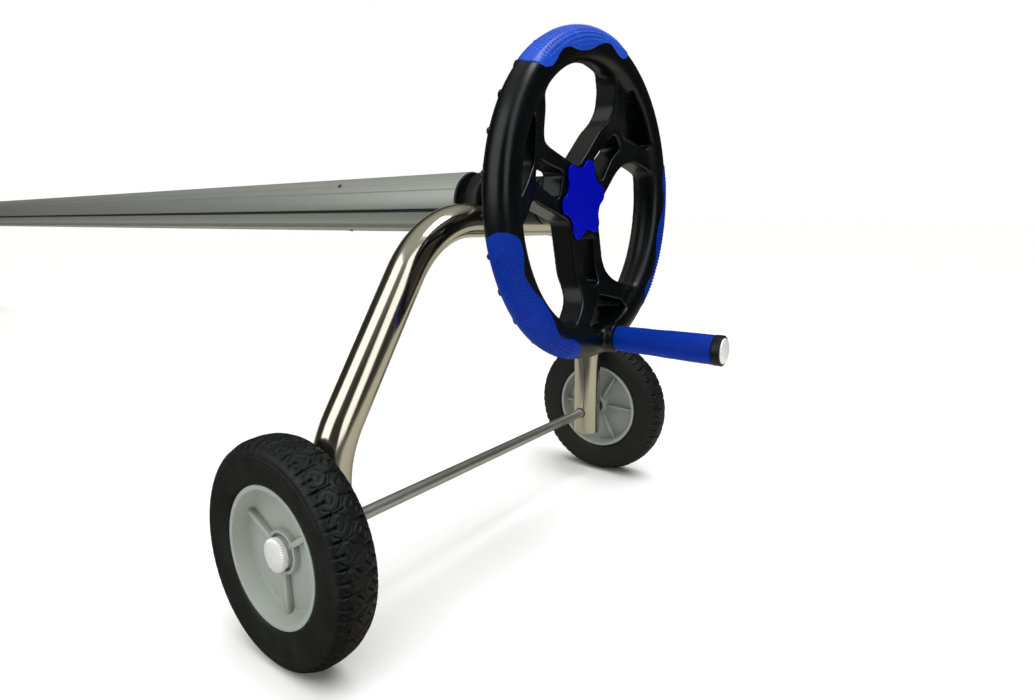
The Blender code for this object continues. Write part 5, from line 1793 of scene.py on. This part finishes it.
@dataclass
class StarKnob:
    """The blue star knob that clamps the hand wheel, and the washer under it."""

    start: float = 0.1291
    plate_start: float = 0.1348
    front: float = 0.1375
    radius: float = 0.046
    valley: float = 0.035
    lobes: int = 6
    narrow: float = 1.15
    square: float = 0.07
    turn: float = 12.0
    edge: float = 0.0012
    sink: float = 0.0003
    boss_radius: float = 0.018
    hole_depth: float = 0.0054
    sides: int = 480
    washer_radius: float = 0.016
    washer_start: float = 0.1273
    washer_end: float = 0.1288

    def shell(self) -> Shell:
        """Shape the knob: a lobed plate with a rounded edge and a slightly hollow front, on a round boss.

        The outline's radius is the valley's plus the lobe's height times a wave: half of one plus the
        cosine of six times the angle, less a share of the sine of its full turn, raised to a power. That
        makes flat lobes and valleys with steep sides. Rows run from the front's middle out over the edge
        to the plate's back, along the boss and into the stud's hole.

        Returns:
            The shell.
        """
        angle = np.radians(np.arange(self.sides) * 360.0 / self.sides)
        wave = (1 + np.cos(self.lobes * (angle - math.radians(self.turn)))) / 2
        wave = wave - self.square * np.sin(2 * math.pi * wave)
        outline = self.valley + (self.radius - self.valley) * wave ** self.narrow
        flat = np.stack([outline * np.cos(angle), outline * np.sin(angle)], axis=1)
        run = np.roll(flat, -1, axis=0) - np.roll(flat, 1, axis=0)
        run /= np.linalg.norm(run, axis=1, keepdims=True)
        inward = np.stack([-run[:, 1], run[:, 0]], axis=1)
        face = flat + inward * self.edge * 1.8
        shares = (0.0, 0.2, 0.4, 0.6, 0.75, 0.87, 0.95, 1.0)
        rows = [face * share for share in shares]
        along = [self.front - self.sink * (1 - share ** 4) for share in shares]
        for part in np.linspace(0.0, math.pi / 2, 7):
            rows.append(flat + inward * self.edge * (1 - math.sin(part)))
            along.append(self.front - self.edge * (1 - math.cos(part)))
        for inset, height in ((0.0, 0.0007), (0.0003, 0.0002), (0.0009, 0.0)):
            rows.append(flat + inward * inset)
            along.append(self.plate_start + height)
        circle = np.stack([np.cos(angle), np.sin(angle)], axis=1)
        boss, bottom = self.boss_radius, self.start + self.hole_depth
        for size, place in ((boss + 0.001, self.plate_start), (boss, self.plate_start - 0.001),
                            (boss, self.start + 0.0005), (boss - 0.0005, self.start), (STUD_HOLE, self.start),
                            (STUD_HOLE, bottom), (0.0, bottom)):
            rows.append(circle * size)
            along.append(place)
        grid = np.stack(rows)
        radius, turn = np.hypot(grid[..., 0], grid[..., 1]), np.arctan2(grid[..., 1], grid[..., 0])
        return grid_shell(reel_axis().carry(radius, np.array(along)[:, None], turn), wrap_rows=False)

    def dress(self) -> None:
        """Add the knob and its washer."""
        add_piece("knob", [self.shell()], KNOB_BLUE, Body.KNOB, "star_knob", sharp=60.0)
        washer = rod_profile(self.washer_radius, self.washer_start, self.washer_end, 0.0003, STUD_HOLE)
        add_piece("washer", [turned(washer, reel_axis(), 64)], FASTENER_STEEL, Body.REEL, "knob_washer")


@dataclass
class CrankGrip:
    """The turning handle near the rim: a blue sleeve with a raised motif, a black ring and a domed cap.

    The motif's swing round the sleeve is in radians.
    """

    start: float = 0.1683
    length: float = 0.113
    root: float = 0.0143
    tip: float = 0.0160
    neck: float = 0.014
    bore: float = 0.0053
    columns: int = 140
    motif_middle: float = 0.056
    motif_half: float = 0.044
    motif_swing: float = 0.35
    frame_half: float = 0.62
    frame_height: float = 0.00025
    wave_height: float = 0.0003
    ring_length: float = 0.009
    ring_radius: float = 0.0164
    cap_radius: float = 0.0136
    cap_seat: float = 0.0025
    cap_side: float = 0.0025
    cap_proud: float = 0.0035

    @property
    def axis(self) -> Axis:
        """The handle's own axis, from the wheel outward."""
        return reel_axis(0.0, CRANK_RADIUS, CRANK_ANGLE)

    def motif(self, radius: Array, distance: Array, angle: Array) -> Array:
        """Raise a long rounded frame with three waves in it, on two sides of the sleeve.

        Args:
            radius: Radii of the sleeve's surface.
            distance: Distances along it.
            angle: Angles round it.

        Returns:
            Heights in metres.
        """
        outer = radius > self.bore + 0.004
        along = (distance - self.start - self.motif_middle) / self.motif_half
        across = (np.mod(angle + self.motif_swing, math.pi) - math.pi / 2) / (math.pi / 2)
        frame_line = (np.abs(along) ** 4 + (np.abs(across) / self.frame_half) ** 4) ** 0.25
        frame_ridge = np.exp(-((frame_line - 1.0) / 0.035) ** 2)
        inside = smooth_step(0.93, 0.86, frame_line)
        waves = sum(np.exp(-((across - 0.30 * k - 0.16 * np.sin(along * 4.2 + k)) / 0.05) ** 2)
                    for k in (-1, 0, 1))
        return outer * (self.frame_height * frame_ridge + self.wave_height * inside * waves)

    def dress(self) -> None:
        """Add the sleeve, the ring and the cap."""
        end = self.start + self.length
        corners = [(self.bore, self.start), (self.root, self.start), (self.root, self.start + self.neck),
                   (self.tip, end), (self.bore, end)]
        profile = respaced(rounded(corners, [0.0004, 0.0016, 0.02, 0.0012, 0.0004]),
                           lambda at: np.where(at[:, 0] > 0.012, 0.0008, 0.003))
        sleeve = turned(profile, self.axis, self.columns, relief=self.motif)
        add_piece("crank_grip_sleeve", [sleeve], GRIP_BLUE, Body.CRANK_GRIP, "crank_sleeve")
        start = end + GAP
        stop = start + self.ring_length
        seat = stop - self.cap_seat
        corners = [(self.cap_radius + GAP, stop), (self.ring_radius, stop), (self.ring_radius, start),
                   (self.bore, start), (self.bore, seat), (self.cap_radius + GAP, seat)]
        ring = rounded(corners, [0.0004, 0.0024, 0.0008, 0.0004, 0.0002, 0.0002])
        add_piece("crank_grip_ring", [turned(ring, self.axis, 96)], FITTING_BLACK, Body.CRANK_GRIP,
                  "crank_end_ring")
        cap = dome_profile(self.cap_radius, self.cap_side, self.cap_seat - GAP + self.cap_proud, 0.0003)
        cap = cap + np.array([0.0, seat + GAP])
        add_piece("crank_grip_cap", [turned(cap, self.axis, 96, closed=False)], CAP_METAL, Body.CRANK_GRIP,
                  "crank_end_cap")


@dataclass
class SmallParts:
    """The axle rod, the rubber feet, and the finish of the hidden shafts and the crank's spindle."""

    axle_end: float = 0.3193
    foot_radius: float = 0.0265
    foot_height: float = 0.046
    foot_sole: float = 0.012
    foot_rings: tuple[float, ...] = (0.018, 0.025, 0.032)
    ring_depth: float = 0.0006
    ring_half: float = 0.0009
    stand_bore: float = STAND_RADIUS + GAP

    def dress(self) -> None:
        """Add the rod and the feet, and dress the shafts and the spindle that keep their own shapes."""
        axis = Axis((DRIVE_X, 0.0, AXLE_HEIGHT), (0, 1, 0), (1, 0, 0))
        rod = rod_profile(AXLE_RADIUS, -self.axle_end, self.axle_end, 0.0008)
        add_piece("axle", [turned(rod, axis, 64, closed=False)], ROD_STEEL, Body.STANDS, "axle_rod")
        corners = [(0.0, self.foot_sole - GAP), (self.stand_bore, self.foot_sole - GAP),
                   (self.stand_bore, self.foot_height), (self.foot_radius - 0.002, self.foot_height),
                   (self.foot_radius, 0.010), (self.foot_radius, 0.0), (0.0, 0.0)]
        profile = rounded(corners, [0.0, 0.001, 0.0008, 0.0016, 0.004, 0.0022, 0.0], closed=False)

        def ribs(radius: Array, distance: Array, angle: Array) -> Array:
            """Cut three shallow rings round the foot.

            Args:
                radius: Radii of the surface.
                distance: Distances along the axis.
                angle: Angles round it; not used.

            Returns:
                Heights in metres.
            """
            outer = radius > self.foot_radius - 0.0024
            rings = sum(np.exp(-((distance - height) / self.ring_half) ** 2) for height in self.foot_rings)
            return -self.ring_depth * rings * outer

        profile = even(profile, 0.0007)
        for side, label in ((-1, "near"), (1, "far")):
            foot_axis = Axis((IDLE_X, side * HALF_SPREAD, 0.0), (0, 0, 1), (1, 0, 0))
            foot = turned(profile, foot_axis, 72, closed=False, relief=ribs)
            add_piece(f"{label}_rubber_foot", [foot], RUBBER, Body.STANDS, f"{label}_foot")
        for node in ("drive_shaft", "idle_shaft", "crank_spindle"):
            dress_node(node, FASTENER_STEEL)


# Studio

@dataclass
class Studio:
    """The pale floor, the soft lights and the camera.

    The lens and the sensor are in millimetres, and the sun's spread is in radians.
    """

    lens: float = 21.90
    sensor: float = 36.0
    shift: tuple[float, float] = (0.0142, -0.0384)
    place: Point = (1.994, -0.6227, 0.4152)
    look: Point = (-0.602, 0.786, -0.139)
    far_clip: float = 200.0
    floor_half: float = 150.0
    floor_drop: float = 0.0005
    dim: Colour = (0.040, 0.037, 0.032)
    bright: Colour = (0.48, 0.47, 0.42)
    dim_below: float = 0.55
    bright_above: float = 0.95
    backdrop: Colour = (1.0, 1.0, 1.0)
    sun_strength: float = 3.15
    sun_spread: float = 1.5

    def add_camera(self) -> None:
        """Stand the camera where the photograph was taken."""
        data = bpy.data.cameras.new("camera")
        data.lens = self.lens
        data.sensor_width = self.sensor
        data.shift_x, data.shift_y = self.shift
        data.clip_end = self.far_clip
        camera = bpy.data.objects.new("camera", data)
        camera.location = self.place
        camera.rotation_euler = Vector(self.look).to_track_quat("-Z", "Y").to_euler()
        bpy.context.scene.collection.objects.link(camera)
        bpy.context.scene.camera = camera

    def add_floor(self) -> None:
        """Lay the floor."""
        half = self.floor_half
        mesh = bpy.data.meshes.new("floor")
        corners = [(-half, -half, 0), (half, -half, 0), (half, half, 0), (-half, half, 0)]
        mesh.from_pydata(corners, [], [(0, 1, 2, 3)])
        mesh.materials.append(FLOOR.material())
        floor = bpy.data.objects.new("floor", mesh)
        floor.location = (0.0, 0.0, -self.floor_drop)
        bpy.context.scene.collection.objects.link(floor)

    def add_light(self, name: str, place: Point, target: Point, size: tuple[float, float],
                  power: float) -> None:
        """Hang one soft light.

        Args:
            name: The light's name.
            place: Where it hangs.
            target: The point that it faces.
            size: Its width and height.
            power: Its power in watts.
        """
        data = bpy.data.lights.new(name, "AREA")
        data.shape = "RECTANGLE"
        data.size, data.size_y = size
        data.energy = power
        light = bpy.data.objects.new(name, data)
        light.location = place
        light.rotation_euler = (Vector(target) - Vector(place)).to_track_quat("-Z", "Y").to_euler()
        bpy.context.scene.collection.objects.link(light)

    def add_sun(self) -> None:
        """Add the wide light from above that makes the floor evenly pale, and leaves no mirror image."""
        data = bpy.data.lights.new("overhead", "SUN")
        data.energy = self.sun_strength
        data.angle = self.sun_spread
        light = bpy.data.objects.new("overhead", data)
        light.visible_glossy = False
        bpy.context.scene.collection.objects.link(light)

    def add_world(self) -> None:
        """Surround the object with a dark room that is brighter overhead.

        The camera sees one pale backdrop. Reflections see the room, as the photograph's polished tube
        shows it.
        """
        world = bpy.data.worlds.new("studio")
        world.use_nodes = True
        tree = Tree(world.node_tree)
        place = tree.node("ShaderNodeTexCoord").outputs["Generated"]
        rise = tree.node("ShaderNodeSeparateXYZ", {}, {0: place}).outputs["Z"]
        share = tree.node("ShaderNodeMapRange", {"interpolation_type": "SMOOTHSTEP"},
                          {"Value": rise, "From Min": self.dim_below, "From Max": self.bright_above})
        tone = tree.node("ShaderNodeMix", {"data_type": "RGBA"},
                         {0: share.outputs[0], 6: self.dim, 7: self.bright})
        room = tree.node("ShaderNodeBackground", {}, {"Color": tone.outputs[2]})
        seen = tree.node("ShaderNodeBackground", {}, {"Color": self.backdrop})
        ray = tree.node("ShaderNodeLightPath").outputs["Is Camera Ray"]
        mix = tree.node("ShaderNodeMixShader", {}, {0: ray, 1: room.outputs[0], 2: seen.outputs[0]})
        tree.node("ShaderNodeOutputWorld", {}, {0: mix.outputs[0]})
        bpy.context.scene.world = world

    def build(self) -> None:
        """Set up the whole studio."""
        self.add_camera()
        self.add_floor()
        self.add_world()
        bpy.context.scene.view_settings.view_transform = "Standard"
        leg = (DRIVE_X, -0.17, 0.30)
        self.add_light("front_left", (DRIVE_X - 0.55, -1.95, 1.30), leg, (1.75, 2.5), 24.0)
        self.add_light("front_right", (DRIVE_X + 1.88, -0.80, 1.30), leg, (1.15, 2.2), 13.0)
        self.add_light("high_right", (DRIVE_X + 0.80, 0.25, 2.30), leg, (0.9, 0.9), 16.0)
        self.add_sun()
        log.info("studio: camera, floor and lights")


def main() -> None:
    """Set up the studio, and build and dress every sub-assembly."""
    logging.basicConfig(level=logging.INFO, format="%(name)s: %(message)s")
    Studio().build()
    Stand("drive_arch", "drive_stand", DRIVE_X, leg_end=0.076).dress()
    Stand("idle_arch", "idle_stand", IDLE_X, leg_end=0.012).dress()
    BearingBlock("drive", DRIVE_X, side=1.0).dress()
    BearingBlock("idle", IDLE_X, side=-1.0).dress()
    SmallParts().dress()
    RoadWheel("near", side=-1.0, body=Body.NEAR_WHEEL).dress()
    RoadWheel("far", side=1.0, body=Body.FAR_WHEEL).dress()
    ReelTube().dress()
    HandWheel().dress()
    StarKnob().dress()
    CrankGrip().dress()


if __name__ == "__main__":
    main()
